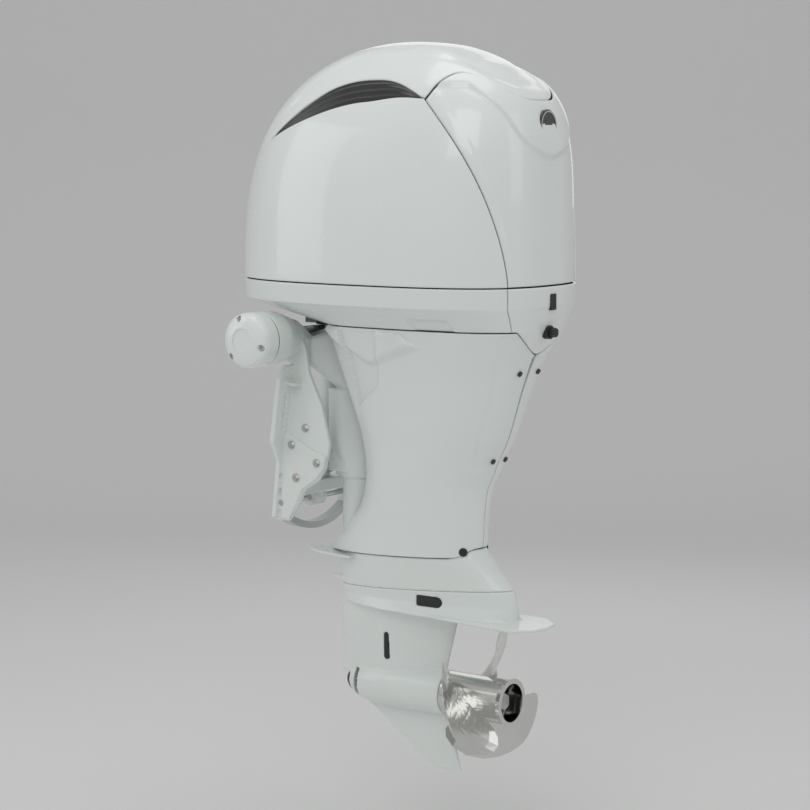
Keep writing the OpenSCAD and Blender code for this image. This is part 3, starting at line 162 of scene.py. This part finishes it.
class Finish:
    def __init__(self, name, **constants):
        self.material = bpy.data.materials.new(name)
        self.material.use_nodes = True
        self.tree = self.material.node_tree
        self.shader = self.tree.nodes["Principled BSDF"]
        self.place = self.node("ShaderNodeTexCoord", out="Object")
        self.set(**constants)

    def _feed(self, socket, value):
        if isinstance(value, Wire):
            self.tree.links.new(value.socket, socket)
        else:
            socket.default_value = value

    def node(self, kind, settings=None, out=0, **sockets):
        made = self.tree.nodes.new(kind)
        for option, value in (settings or {}).items():
            if option == "stops":
                for i, (position, color) in enumerate(value):
                    stop = made.color_ramp.elements[i] if i < 2 else made.color_ramp.elements.new(position)
                    stop.position, stop.color = position, color
            else:
                setattr(made, option, value)
        for key, value in sockets.items():
            place = int(key[1:]) if key[0] == "i" and key[1:].isdigit() else key.replace("_", " ")
            self._feed(made.inputs[place], value)
        return Wire(self, made.outputs[out])

    def set(self, **sockets):
        for key, value in sockets.items():
            self._feed(self.shader.inputs[key.replace("_", " ")], value)

    def noise(self, scale, detail=2.0, rough=0.5):
        return self.node("ShaderNodeTexNoise", Vector=self.place, Scale=scale, Detail=detail, Roughness=rough)

    def tone(self, mask, dark, light):
        ends = {"i6": (*dark, 1), "i7": (*light, 1)}
        return self.node("ShaderNodeMix", {"data_type": "RGBA"}, out=2, i0=mask, **ends)

    def bump(self, height, strength, distance):
        self.set(Normal=self.node("ShaderNodeBump", Height=height, Strength=strength, Distance=distance))


# %% [markdown]
# ## Finishes
#
# The covers are moulded and painted gloss white under clear coat. Real paint is never one flat
# value: it has a very fine orange peel, and a soft drift in tone where dust and polish differ. The
# clear coat is a constant on the shader's own socket. Castings carry the same paint, a little
# coarser, since sand-cast alloy shows through.


# %% Paints
def paint(name, color, peel, peel_strength, rough, coat):
    f = Finish(name, Coat_Weight=coat, Coat_Roughness=0.06)
    drift = f.noise(3.2, 3)
    fine = f.noise(peel, 2)
    dust = f.noise(38, 4, 0.6)
    f.set(Base_Color=f.tone(drift, [c * 0.955 for c in color], [min(1, c * 1.03) for c in color]),
          Roughness=rough + 0.08 * dust)
    f.bump(fine + 0.15 * dust, peel_strength, 0.0004)
    return f.material


cowl_paint = paint("pearl_cowl_paint", (0.83, 0.87, 0.85), 420, 0.05, 0.22, 0.7)
leg_paint = paint("pearl_leg_paint", (0.82, 0.865, 0.845), 380, 0.06, 0.26, 0.6)
cast_paint = paint("painted_casting", (0.80, 0.85, 0.825), 260, 0.16, 0.3, 0.45)
# The dark engine paint also goes on the steering arm. There it partly stands in as painted shade for the dark gap
# between the bracket top and the swivel.
engine_paint_and_painted_shade = paint("engine_paint_and_painted_shade", (0.09, 0.1, 0.11), 200, 0.3, 0.4, 0.1)


# %% [markdown]
# The rods are ground, the gears are machined, the propeller is polished stainless and the housings
# inside are bare castings. One function makes them all: stretched noise stands for the direction of
# the cut, and a slow noise for handling marks. A picture of scratches would need a file from disk.


# %% Metals
def metal(name, color, rough, grain, strength, stretch=(1, 1, 1)):
    f = Finish(name, Metallic=1.0)
    long = f.node("ShaderNodeMapping", Vector=f.place, Scale=stretch)
    lines = f.node("ShaderNodeTexNoise", Vector=long, Scale=grain, Detail=4.0, Roughness=0.6)
    smear = f.noise(14, 3)
    f.set(Base_Color=f.tone(smear, [c * 0.88 for c in color], color),
          Roughness=rough + 0.12 * (lines * smear))
    f.bump(lines, strength, 0.0002)
    return f.material


propeller_steel = metal("polished_propeller_steel", (0.72, 0.72, 0.7), 0.13, 90, 0.05, (1, 3, 3))
rod_steel = metal("ground_rod_steel", (0.66, 0.66, 0.65), 0.2, 300, 0.1, (1, 1, 6))
gear_steel = metal("machined_gear_steel", (0.5, 0.5, 0.49), 0.3, 220, 0.2, (4, 1, 1))
cast_alloy = metal("bare_cast_alloy", (0.6, 0.61, 0.6), 0.48, 160, 0.5)
zinc = metal("cast_zinc", (0.62, 0.66, 0.65), 0.5, 120, 0.5)


# %% [markdown]
# Black mouldings have a fine spark-eroded grain, and rubber a coarser, duller one. A Voronoi
# pattern as a shallow bump gives the grain, and a slow noise varies the gloss where hands rub.


# %% Plastics, rubber and small marks
def plastic(name, color, rough, grain, strength, coat=0.0):
    f = Finish(name, Coat_Weight=coat, Coat_Roughness=0.1)
    texture = f.node("ShaderNodeTexVoronoi", Vector=f.place, Scale=grain)
    wear = f.noise(22, 3)
    f.set(Base_Color=f.tone(wear, [c * 0.8 for c in color], color), Roughness=rough + 0.1 * wear)
    f.bump(texture, strength, 0.0003)
    return f.material


black_moulding = plastic("black_moulding", (0.02, 0.021, 0.022), 0.42, 900, 0.3)
gloss_black = plastic("gloss_black_moulding", (0.008, 0.008, 0.009), 0.12, 300, 0.02, 0.8)
black_rubber = plastic("black_rubber", (0.018, 0.018, 0.018), 0.7, 700, 0.4)
nylon = plastic("natural_nylon", (0.72, 0.69, 0.6), 0.45, 500, 0.1)
print(len(bpy.data.materials), "materials")

# %% [markdown]
# ## The frame's own pieces
#
# Shafts, gears, bolts and the engine are right as they come: they only need a finish. Assigning to
# an object's material slots leaves its mesh alone.

# %% Finishes on the frame's pieces
FINISHES = {
    "tilt_bushes swivel_bushes": nylon,
    "cap_seals rubber_mounts cowl_seal control_boot": black_rubber,
    "mount_bolts ram_lower_pin tilt_ram_rod trim_rods tilt_tube steering_rod": rod_steel,
    "steering_shaft driveshaft crankshaft propeller_shaft flywheel": gear_steel,
    "pinion forward_gear reverse_gear dog_clutch": gear_steel,
    "bracket_anode": zinc,
    "exhaust_guide bearing_carrier water_pump": cast_alloy,
    # The steering arm gets the dark engine paint partly as painted shade, to fill the dark gap between the
    # bracket top and the swivel.
    "engine_block cylinder_heads valve_covers steering_arm": engine_paint_and_painted_shade,
    "intake_manifold ecu_box water_inlets casing_grilles": black_moulding,
    "tilt_switch flush_cap fairing_screws": black_moulding,
    "cowl_intake_grilles cowl_badge": gloss_black,
    "steering_cap_port steering_cap_starboard": cowl_paint,
    "fairing_port fairing_starboard bottom_cowl bottom_cowl_aft": cowl_paint,
    "cowl_side_port cowl_side_starboard cowl_roof cowl_rear_panel": cowl_paint,
    "clamp_bracket_port clamp_bracket_starboard steering_housing_port steering_housing_starboard": cast_paint,
    "tilt_pump tilt_ram_cylinder swivel_bracket lower_yoke upper_casing splash_plate gearcase": cast_paint,
    "propeller": propeller_steel,
}
for names, finish in FINISHES.items():
    for name in names.split():
        NODES[name].data.materials.clear()
        NODES[name].data.materials.append(finish)
        NODES[name].data.shade_smooth()
        NODES[name].data.set_sharp_from_angle(angle=math.radians(32))
print(sum(len(n.split()) for n in FINISHES), "nodes finished")

# %% [markdown]
# ## Mesh helpers
#
# Every new piece is built in millimetres, like a drawing, and scaled to metres once. A `shell` is
# two grids of points, outside and inside, closed round the rim.


# %% Making and registering a piece
def piece(name, points, faces, body, slot, material, replaces=(), sharp=35):
    mesh = bpy.data.meshes.new(name)
    mesh.from_pydata((np.asarray(points, float) * MM).tolist(), [], faces)
    mesh.validate()
    tidy = bmesh.new()
    tidy.from_mesh(mesh)
    bmesh.ops.recalc_face_normals(tidy, faces=tidy.faces)
    tidy.to_mesh(mesh)
    tidy.free()
    mesh.shade_smooth()
    mesh.set_sharp_from_angle(angle=math.radians(sharp))
    mesh.materials.append(material)
    obj = bpy.data.objects.new(name, mesh)
    bpy.context.scene.collection.objects.link(obj)
    return register(obj, body, replaces)


def register(obj, body, replaces=()):
    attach(obj, body)
    if replaces:
        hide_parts(*replaces)
    return obj


def shell(name, outer, inner, *rest, closed=False, **options):
    m, n = outer.shape[:2]
    wrap = n if closed else n - 1
    cell = lambda s, i, j: s * m * n + i * n + j % n
    faces = []
    for i in range(m - 1):
        for j in range(wrap):
            faces.append((cell(0, i, j), cell(0, i, j + 1), cell(0, i + 1, j + 1), cell(0, i + 1, j)))
            faces.append((cell(1, i, j), cell(1, i + 1, j), cell(1, i + 1, j + 1), cell(1, i, j + 1)))
    for j in range(wrap):
        faces.append((cell(0, 0, j), cell(1, 0, j), cell(1, 0, j + 1), cell(0, 0, j + 1)))
        faces.append((cell(0, m - 1, j), cell(0, m - 1, j + 1), cell(1, m - 1, j + 1), cell(1, m - 1, j)))
    if not closed:
        for i in range(m - 1):
            faces.append((cell(0, i, 0), cell(0, i + 1, 0), cell(1, i + 1, 0), cell(1, i, 0)))
            faces.append((cell(0, i, n - 1), cell(1, i, n - 1), cell(1, i + 1, n - 1), cell(0, i + 1, n - 1)))
    points = np.concatenate([outer.reshape(-1, 3), inner.reshape(-1, 3)])
    return piece(name, points, faces, *rest, **options)


# %% [markdown]
# A styled cover follows curves that a designer fairs by eye. Here they are tables of a few rows, and
# a cubic passes smoothly through them. Two more helpers place extra rows of mesh near a rim and
# roll the rim over, since a moulded edge is always rounded.


# %% Small curves that the shapes are drawn with
def mix(a, b, t):
    return a + (b - a) * t


def clamp(t):
    return np.clip(t, 0.0, 1.0)


def ease(t):
    t = clamp(t)
    return t * t * (3 - 2 * t)


def spow(v, p):
    return np.sign(v) * np.abs(v) ** p


def rows(table):
    """Smooth curve through rows of [t, value, ...]; returns a function of t."""
    table = np.asarray(table, float)
    ts, values = table[:, 0], table[:, 1:]
    slopes = np.array([(values[min(i + 1, len(ts) - 1)] - values[max(i - 1, 0)])
                       / (ts[min(i + 1, len(ts) - 1)] - ts[max(i - 1, 0)]) for i in range(len(ts))])

    def at(t):
        t = np.asarray(t, float)
        i = np.clip(np.searchsorted(ts, t, side="right") - 1, 0, len(ts) - 2)
        w = ts[i + 1] - ts[i]
        s = ((t - ts[i]) / w)[..., None]
        w = w[..., None]
        return (values[i] * (2 * s**3 - 3 * s**2 + 1) + slopes[i] * w * (s**3 - 2 * s**2 + s)
                + values[i + 1] * (3 * s**2 - 2 * s**3) + slopes[i + 1] * w * (s**3 - s**2))

    return at


def with_rims(count, length, roll):
    """Parameters from 0 to 1 with extra rows close to both ends, where an edge rolls over."""
    rim = np.array([0, 0.12, 0.3, 0.6, 1.0, 1.8]) * roll / length
    return np.unique(np.concatenate([rim, np.linspace(rim[-1] * 1.5, 1 - rim[-1] * 1.5, count), 1 - rim]))


def rolled(distance, roll):
    """Depth of a rounded edge at a distance from the rim."""
    t = clamp(distance / roll)
    return roll * (1 - np.sqrt(np.clip(1 - (1 - t) ** 2, 0, 1)))


print("helpers ready")

# %% [markdown]
# ## The cowl's form
#
# The top cowl is one continuous egg, cut into panels. Angle `a` runs round it from the nose, height
# `h` runs from the seam to the crown, and `d` is a depth inwards. The flanks bulge, the nose rakes
# back and the tail stays upright, so the power of the vertical curve changes round the cowl.

# %% Cowl surface
seam_z = 222.0
COWL_X, NOSE_X, TAIL_X, HALF, HEIGHT = -300.0, 180.0, -718.0, 282.0, 604.0
GAP, WALL, ROLL = 3.0, 5.0, 3.2


def plan(a, row, d=0.0):
    c, s = np.cos(np.radians(a)), np.sin(np.radians(a))
    centre, front, rear, half, nf, nr = row
    n = np.where(c >= 0, nf, nr)
    reach = np.where(c >= 0, front - centre, centre - rear) - d
    return centre + reach * spow(c, 2 / n), (half - d) * spow(s, 2 / n)


def cowl_at(a, h, d=0.0):
    a, h, d = np.broadcast_arrays(np.asarray(a, float), np.asarray(h, float), np.asarray(d, float))
    c = np.cos(np.radians(a))
    power = 3.5 + (np.where(c >= 0, 2.7, 6.1) - 3.5) * c * c
    r = np.sqrt(np.clip(1 - np.abs(h) ** power, 0, 1))
    x, y = plan(a, (COWL_X, NOSE_X, TAIL_X, HALF, 2.6, 2.8), d)
    return np.stack([COWL_X + (x - COWL_X) * r, y * r, seam_z + GAP / 2 + (HEIGHT - d) * h], -1)


# Heights of the edges as rows of [angle, share of the cowl's height].
side_top = rows([[36.5, 0.454], [41.5, 0.549], [51.5, 0.6], [68, 0.67],
                 [87, 0.741], [100, 0.767], [113.8, 0.763]])
intake_top = rows([[47, 0.585], [59, 0.688], [67.5, 0.754], [77, 0.812],
                   [90, 0.843], [101, 0.826], [113.8, 0.763]])
roof_tail = rows([[113.8, 0.763], [121, 0.819], [131, 0.857], [140, 0.868], [148, 0.851], [156, 0.815],
                  [165, 0.782], [173, 0.76], [180, 0.756]])
chevron = rows([[140, 0.83], [153.9, 0.734], [158.1, 0.683], [162.8, 0.627],
                [169.5, 0.579], [176, 0.55], [180, 0.533]])
CORNER_A, SWEEP = 113.8, 40.2


def front_seam(v):
    return 24 + 12.5 * v


def corner_seam(v):
    return CORNER_A + SWEEP * (1 - v**1.5)


def folded(a):
    a = np.asarray(a, float) % 360
    return np.where(a > 180, 360 - a, a)


def roof_edge(a):
    b = folded(a)
    return np.select([b < 24, b < 36.5, b < 47, b < CORNER_A],
                     [0 * b, 0.454 * (b - 24) / 12.5, side_top(np.clip(b, 36.5, 47))[..., 0],
                      intake_top(np.clip(b, 47, CORNER_A))[..., 0]],
                     roof_tail(np.clip(b, CORNER_A, 180))[..., 0])


print("crown at", round(float(cowl_at(0, 1)[2])), "mm")

# %% [markdown]
# ## Cowl side panels
#
# A moulded panel never meets its neighbour with a knife edge. Its rim rolls inwards over about
# three millimetres, and the dark line between two panels is the shadow between two rolled rims.
# The grid gets extra rows near its rims to carry that roll.


# %% Side panels, port and starboard
def cowl_side(sign, name, node):
    u, v = np.meshgrid(with_rims(150, 800, ROLL), with_rims(90, 440, ROLL))
    a = mix(front_seam(v), corner_seam(v), 0.003 + 0.994 * u)
    h = 0.997 * v * side_top(mix(36.5, CORNER_A, u))[..., 0]
    rim = np.minimum.reduce([u * 800, (1 - u) * 700, v * 440, (1 - v) * 440])
    outer = cowl_at(a, h, rolled(rim, ROLL))
    inner = cowl_at(a, h, WALL)
    outer[..., 1] *= sign
    inner[..., 1] *= sign
    return shell(name, outer, inner, "top_cowl", "cowl_paint", cowl_paint, replaces=[node])


cowl_side(1, "cowl_side_panel_port", "cowl_side_port")
cowl_side(-1, "cowl_side_panel_starboard", "cowl_side_starboard")
print("two side panels")

# %% [markdown]
# ## Roof
#
# The roof starts at the nose, sweeps over the air intakes and ends in a raised tail. It is a polar
# grid: one point at the crown, and rings that grow out to the seam. A soft crease runs round the
# crown, and the tail has a shallow dish between two shoulders.


# %% Roof panel
crown_line = rows([[0, 0.5], [30, 0.6], [54.5, 0.78], [66.2, 0.926], [90, 0.958], [117.4, 0.975], [140, 0.96],
                   [160, 0.93], [180, 0.92]])


def roof():
    a = np.arange(0, 360, 1.5)
    rim_rows = 1 - np.array([0.02, 0.012, 0.007, 0.004, 0.002, 0.0008, 0])
    t = np.concatenate([np.linspace(0.02, 0.97, 90), rim_rows])
    A, T = np.meshgrid(a, t)
    edge = roof_edge(A) + np.where(roof_edge(A) > 0, 0.004, 0)
    h = 1 - (1 - edge) * T * T
    b = folded(A)
    rim = (1 - T) * 2 * np.maximum(0.1, 1 - edge) * HEIGHT
    below = (crown_line(b)[..., 0] - h) * HEIGHT
    crease = 5.0 * ease(below / 26) * ease((b - 34) / 22)
    dish = 9.0 * ease((b - 138) / 26) * ease((rim - 14) / 40) * ease((0.985 - h) / 0.05)
    outer = cowl_at(A, h, rolled(rim, ROLL) + crease + dish)
    inner = cowl_at(A, h, WALL + crease + dish)
    m, n = A.shape
    crown = [[cowl_at(0, 1, 0)], [cowl_at(0, 1, WALL)]]
    points = np.concatenate([*crown, outer.reshape(-1, 3), inner.reshape(-1, 3)])
    cell = lambda s, i, j: 2 + s * m * n + i * n + j % n
    faces = []
    for j in range(n):
        faces += [(0, cell(0, 0, j), cell(0, 0, j + 1)), (1, cell(1, 0, j + 1), cell(1, 0, j))]
        faces.append((cell(0, m - 1, j), cell(1, m - 1, j), cell(1, m - 1, j + 1), cell(0, m - 1, j + 1)))
        for i in range(m - 1):
            faces.append((cell(0, i, j), cell(0, i + 1, j), cell(0, i + 1, j + 1), cell(0, i, j + 1)))
            faces.append((cell(1, i, j), cell(1, i, j + 1), cell(1, i + 1, j + 1), cell(1, i + 1, j)))
    return piece("cowl_roof_panel", points, faces, "top_cowl", "cowl_paint", cowl_paint,
                 replaces=["cowl_roof"])


roof()
print("roof panel")

# %% [markdown]
# ## Rear panel and badge
#
# The rear panel stands between the corner seams. A chevron-shaped step crosses it below the roof,
# and the panel below that step is a little deeper. Along each corner seam the panel is chamfered.


# %% Rear panel
BADGE_H = 0.655  # share of the cowl's height at which the badge sits
BADGE_STEP = 6.0  # how deep the lower panel stands below the chevron


def rear_panel():
    u, v = np.meshgrid(np.concatenate([-with_rims(60, 260, ROLL)[::-1][:-1], with_rims(60, 260, ROLL)[1:]]),
                       with_rims(150, 480, ROLL))
    w = np.abs(u)
    half = 180 - corner_seam(0.997 * v) - 0.4
    b = 180 - w * half
    a = np.where(u < 0, b, 360 - b)
    h = 0.997 * v * roof_tail(180 - 66.2 * w)[..., 0]
    rim = np.minimum.reduce([(1 - w) * 240, v * 480, (1 - v) * 480])
    step = BADGE_STEP * ease((chevron(np.clip(b, 140, 180))[..., 0] - h) * HEIGHT / 13) * ease((1 - w) * 240 / 30)
    chamfer = 5.0 * (1 - ease((1 - w) * half / (2.5 + 3 * v)))
    outer = cowl_at(a, h, rolled(rim, ROLL) + step + chamfer)
    inner = cowl_at(a, h, WALL + step + chamfer)
    return shell("cowl_rear_skin", outer, inner, "top_cowl", "cowl_paint", cowl_paint,
                 replaces=["cowl_rear_panel"])


rear_panel()


# %% [markdown]
# The round badge is a turned disc with a bright ring round it, both blank. A lathe is the natural way
# to make them: a short profile goes round an axis, and the profile's steps catch the light.


# %% Lathed pieces
def lathe(name, profile, centre, axis, *rest, steps=96, **options):
    """Turns (radius, along) rows about an axis through centre; closed where a radius is 0."""
    axis = Vector(axis).normalized()
    side = axis.orthogonal().normalized()
    other = axis.cross(side)
    points, rings = [], []
    for r, s in profile:
        if r < 1e-6:
            rings.append([len(points)])
            points.append(Vector(centre) + axis * s)
        else:
            rings.append(list(range(len(points), len(points) + steps)))
            points += [Vector(centre) + axis * s + (side * math.cos(t) + other * math.sin(t)) * r
                       for t in np.linspace(0, 2 * math.pi, steps, endpoint=False)]
    faces = []
    for low, high in zip(rings, rings[1:]):
        for j in range(steps):
            k = (j + 1) % steps
            if len(low) == 1 and len(high) > 1:
                faces.append((low[0], high[j], high[k]))
            elif len(high) == 1 and len(low) > 1:
                faces.append((low[j], low[k], high[0]))
            elif len(low) > 1:
                faces.append((low[j], low[k], high[k], high[j]))
    return piece(name, [tuple(p) for p in points], faces, *rest, **options)


badge_centre = (float(cowl_at(180, BADGE_H, BADGE_STEP)[0]) - 1, 0, seam_z + BADGE_H * HEIGHT)
BADGE_AXIS = (-1, 0, 0.04)
lathe("cowl_badge_disc",
      [(0, 5.2), (16, 5.2), (17, 4.4), (30, 4.4), (31, 5.6), (35, 5.6), (38, 3.4), (38, -6), (0, -6)],
      badge_centre, BADGE_AXIS, "top_cowl", "black_plastic", gloss_black, replaces=["cowl_badge"])
lathe("cowl_badge_ring", [(31.2, 5.7), (31.9, 6.6), (33.6, 6.6), (34.6, 5.7), (33, 4.9), (31.2, 5.7)],
      badge_centre, BADGE_AXIS, "top_cowl", "stainless", rod_steel)
print("rear panel and badge")

# %% [markdown]
# ## Air intakes
#
# Air enters under the roof's edge through a long dark slot. Inside it is a gloss black moulding
# with louvres that follow the slot. The louvres are real ribs, so that they catch a line of light.


# %% Intake louvres
def intake(sign, name):
    i, v = np.meshgrid(np.linspace(0, 1, 110), np.linspace(0, 1, 61))
    a = mix(48.5, CORNER_A - 1.2, i)
    low = side_top(a)[..., 0] - 0.02
    high = np.minimum(intake_top(a)[..., 0] + 0.025, 0.93)
    h = mix(low, np.maximum(high, low + 0.02), v)
    ripple = 2.6 * np.abs(np.sin(v * math.pi * 5)) ** 3
    outer, inner = cowl_at(a, h, WALL + 4.2 - ripple * ease(v / 0.1)), cowl_at(a, h, WALL + 6.5)
    outer[..., 1] *= sign
    inner[..., 1] *= sign
    return shell(name, outer, inner, "top_cowl", "black_plastic", gloss_black)


louvres = [intake(1, "intake_louvres_port"), intake(-1, "intake_louvres_starboard")]
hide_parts("cowl_intake_grilles")
print("two intakes")

# %% [markdown]
# ## Leg skin: bottom cowl and fairing
#
# Below the seam the form narrows like a bowl and then runs down the leg. Both come from one table
# of plan shapes, so the bottom cowl and the fairing meet exactly.

# %% Leg surface
FAIRING_TOP, FOOT_Z = 110.0, -500.0
FAIRING_TAIL, FAIRING_HALF = TAIL_X + 15, 205.0
BOWL = [[0, -320, -95, FAIRING_TAIL, FAIRING_HALF, 3, 3.2], [0.3, -305, 60, -711, 244, 2.8, 3],
        [0.48, -300, 150, -714, 268, 2.6, 2.9], [0.54, -300, 176, -716, 277, 2.6, 2.8],
        [1, -300, 180, -718, 282, 2.6, 2.8]]
LEG = rows([[0, -320, -95, -703, 205, 3, 3.2], [0.115, -335, -105, -668, 178, 3, 3],
            [0.246, -345, -125, -636, 152, 3, 2.8], [0.459, -345, -160, -593, 122, 2.8, 2.6],
            [0.59, -330, -170, -553, 108, 2.6, 2.5], [0.679, -320, -165, -528, 100, 2.5, 2.4],
            [0.787, -305, -140, -518, 94, 2.3, 2.4], [0.885, -290, -80, -515, 92, 2, 2.4],
            [1, -270, -34, -508, 92, 1.8, 2.4]])


def skin_at(a, z, d=0.0):
    a, z, d = np.broadcast_arrays(np.asarray(a, float), np.asarray(z, float), np.asarray(d, float))
    up = clamp((z - FAIRING_TOP) / (seam_z - FAIRING_TOP))
    bowl = np.array(BOWL)
    high = [np.interp(up, bowl[:, 0], bowl[:, k]) for k in range(1, 7)]
    low = LEG(clamp((FAIRING_TOP - z) / (FAIRING_TOP - FOOT_Z)))
    row = [np.where(z >= FAIRING_TOP, high[k], low[..., k]) for k in range(6)]
    x, y = plan(a, row, d)
    return np.stack([x, y, z], -1)


def v_seam(a):
    return FAIRING_TOP - 62 * clamp((np.abs(a) - 158) / 22)


def foot_edge(x):
    return FOOT_Z + 20 * clamp((-34 - x) / 430) + 24 * ease((-460 - x) / 50)


print("leg rows", len(BOWL))

# %% [markdown]
# ## Bottom cowl
#
# The bottom cowl carries the seam's lip and the latch pockets. A separate tail piece closes it at
# the back. Each latch pocket is a shallow dip in the lower edge; the latch lever is not modelled.


# %% Bottom cowl and its tail piece
SEAM_A = CORNER_A + SWEEP


def bowl_piece(name, a0, a1, count, material, replaces):
    length = 2200 * (a1 - a0) / 360
    a, v = np.meshgrid(mix(a0, a1, with_rims(count, length, ROLL)), with_rims(64, 112, ROLL))
    low = v_seam(np.where(a > 180, 360 - a, a)) + GAP / 2
    z = mix(low, seam_z - GAP / 2, v)
    rim = np.minimum.reduce([(a - a0) * 6, (a1 - a) * 6, v * 112, (1 - v) * 112])
    flat = skin_at(a, z)
    pocket = ease((flat[..., 0] + 560) / 16) * ease((-436 - flat[..., 0]) / 12) * ease((146 - z) / 12)
    d = rolled(rim, ROLL) + 9 * pocket * (np.abs(flat[..., 1]) > 60)
    return shell(name, skin_at(a, z, d), skin_at(a, z, d + WALL), "motor", "cowl_paint", material,
                 replaces=replaces)


bowl_piece("bottom_cowl_skin", -SEAM_A + 0.4, SEAM_A - 0.4, 420, cowl_paint, ["bottom_cowl"])
bowl_piece("bottom_cowl_tail", SEAM_A, 360 - SEAM_A, 110, cowl_paint, ["bottom_cowl_aft"])
print("bottom cowl")

# %% [markdown]
# ## Leg fairing
#
# On the real motor each half of the fairing is sculpted: a wing-shaped plateau at the top, a rib
# that runs down from it, a long scallop behind the rib, and a ledge above the foot. Here the
# reliefs are shallow depths over X and Z, and each one is a product of soft steps. Polylines with
# a distance to each edge would give crisper creases, at the price of a longer script.


# %% Relief of the fairing
def beyond(x, z, p, q, width):
    """Soft step that rises to the right of the line from p to q, over a width."""
    ux, uz = q[0] - p[0], q[1] - p[1]
    side = ((x - p[0]) * uz - (z - p[1]) * ux) / math.hypot(ux, uz)
    return ease(side / width)


# The scallop's rear edge as rows of [z, x], and the ledge's foot as rows of [x, z].
scallop_tail = rows([[-420, -330], [-340, -380], [-282, -429], [-202, -511],
                     [-90, -560], [20, -597], [110, -600]])
ledge_foot = rows([[-520, -250], [-440, -290], [-400, -325], [-351, -364],
                   [-250, -402], [-84, -439], [0, -450]])


def relief(x, z):
    tail = scallop_tail(np.clip(z, -420, 110))[..., 0]
    foot = ledge_foot(np.clip(x, -520, 0))[..., 0]
    scallop = (beyond(x, z, (-226, -320), (-292, -47), 17)
               * beyond(x, z, (-292, -47), (-470, 72), 17)
               * ease((x - tail) / 66) * clamp((z - foot) / np.maximum(-298 - foot, 18)))
    scallop = np.where(x < -200, scallop, 0)
    wing = (ease((z - mix(0, 60, clamp((-273 - x) / 170)) + 2) / 30)
            * ease((z + 2 - 92 * clamp((x + 273) / 165)) / 26) * ease((x + 470) / 34))
    wing = wing * ease((mix(150, 66, ease((-300 - x) / 150)) - z) / 14 + 0.5)
    strip = ease((-(x + 665) + (124 - z) * 135 / 354) / 14 + 0.5) * ease((z + 262) / 30)
    return 13 * scallop - 11 * wing + 3.0 * strip


def fairing(sign, name, node):
    s, v = np.meshgrid(with_rims(250, 760, ROLL), with_rims(230, 610, ROLL))
    opening = 34 * (1 - ease((v - 0.925) / 0.035))
    a = mix(opening, 179.6, s)
    top = v_seam(a) - GAP / 2
    z = mix(top, foot_edge(skin_at(a, FOOT_Z + 0 * a)[..., 0]), v)
    flat = skin_at(a, z)
    rim = np.minimum.reduce([s * 760, (1 - s) * 760, v * 610, (1 - v) * 610])
    fade = ease(v * 610 / 14)
    d = relief(flat[..., 0], flat[..., 2]) * fade + rolled(rim, ROLL)
    outer, inner = skin_at(a, z, d), skin_at(a, z, np.maximum(d + WALL, WALL))
    for grid in (outer, inner):
        grid[..., 1] = sign * np.maximum(grid[..., 1], GAP / 4)
    return shell(name, outer, inner, "motor", "cowl_paint", leg_paint, replaces=[node])


fairing(1, "fairing_skin_port", "fairing_port")
fairing(-1, "fairing_skin_starboard", "fairing_starboard")
print("fairing halves")

# %% [markdown]
# ## Castings
#
# A casting has no sharp edges: every corner has a radius, and webs flow into bosses. Modelling each
# fillet by hand is slow. Copying the plain solid, remeshing it into small even cells and then
# smoothing gives every edge the same small radius, as a mould does.


# %% Cast pieces
def cast(name, node, body, cell, rounds):
    mesh = NODES[node].data.copy()
    obj = bpy.data.objects.new(name, mesh)
    bpy.context.scene.collection.objects.link(obj)
    mesh.materials.clear()
    mesh.materials.append(cast_paint)
    remesh = obj.modifiers.new("cells", "REMESH")
    remesh.mode, remesh.voxel_size, remesh.adaptivity = "VOXEL", cell * MM, 0.0
    soften = obj.modifiers.new("soften", "SMOOTH")
    soften.factor, soften.iterations = 0.5, rounds
    depsgraph = bpy.context.evaluated_depsgraph_get()
    made = bpy.data.meshes.new_from_object(obj.evaluated_get(depsgraph))
    obj.modifiers.clear()
    obj.data = made
    made.shade_smooth()
    if not made.materials:
        made.materials.append(cast_paint)
    return register(obj, body, [node])


# Name, node, body, cell size in millimetres and rounds of smoothing.
CASTINGS = []
for side in ("port", "starboard"):
    CASTINGS.append((f"clamp_bracket_casting_{side}", f"clamp_bracket_{side}", "transom_mount", 2.2, 5))
    CASTINGS.append((f"steering_housing_casting_{side}", f"steering_housing_{side}", "transom_mount", 2.2, 8))
CASTINGS += [
    ("swivel_bracket_casting", "swivel_bracket", "swivel", 2.6, 8),
    ("tilt_pump_casting", "tilt_pump", "transom_mount", 2.4, 4),
    ("gearcase_casting", "gearcase", "motor", 2.4, 8),
    ("upper_casing_casting", "upper_casing", "motor", 3.0, 6),
]
for name, node, body, cell, rounds in CASTINGS:
    cast(name, node, body, cell, rounds)
print("castings rounded")
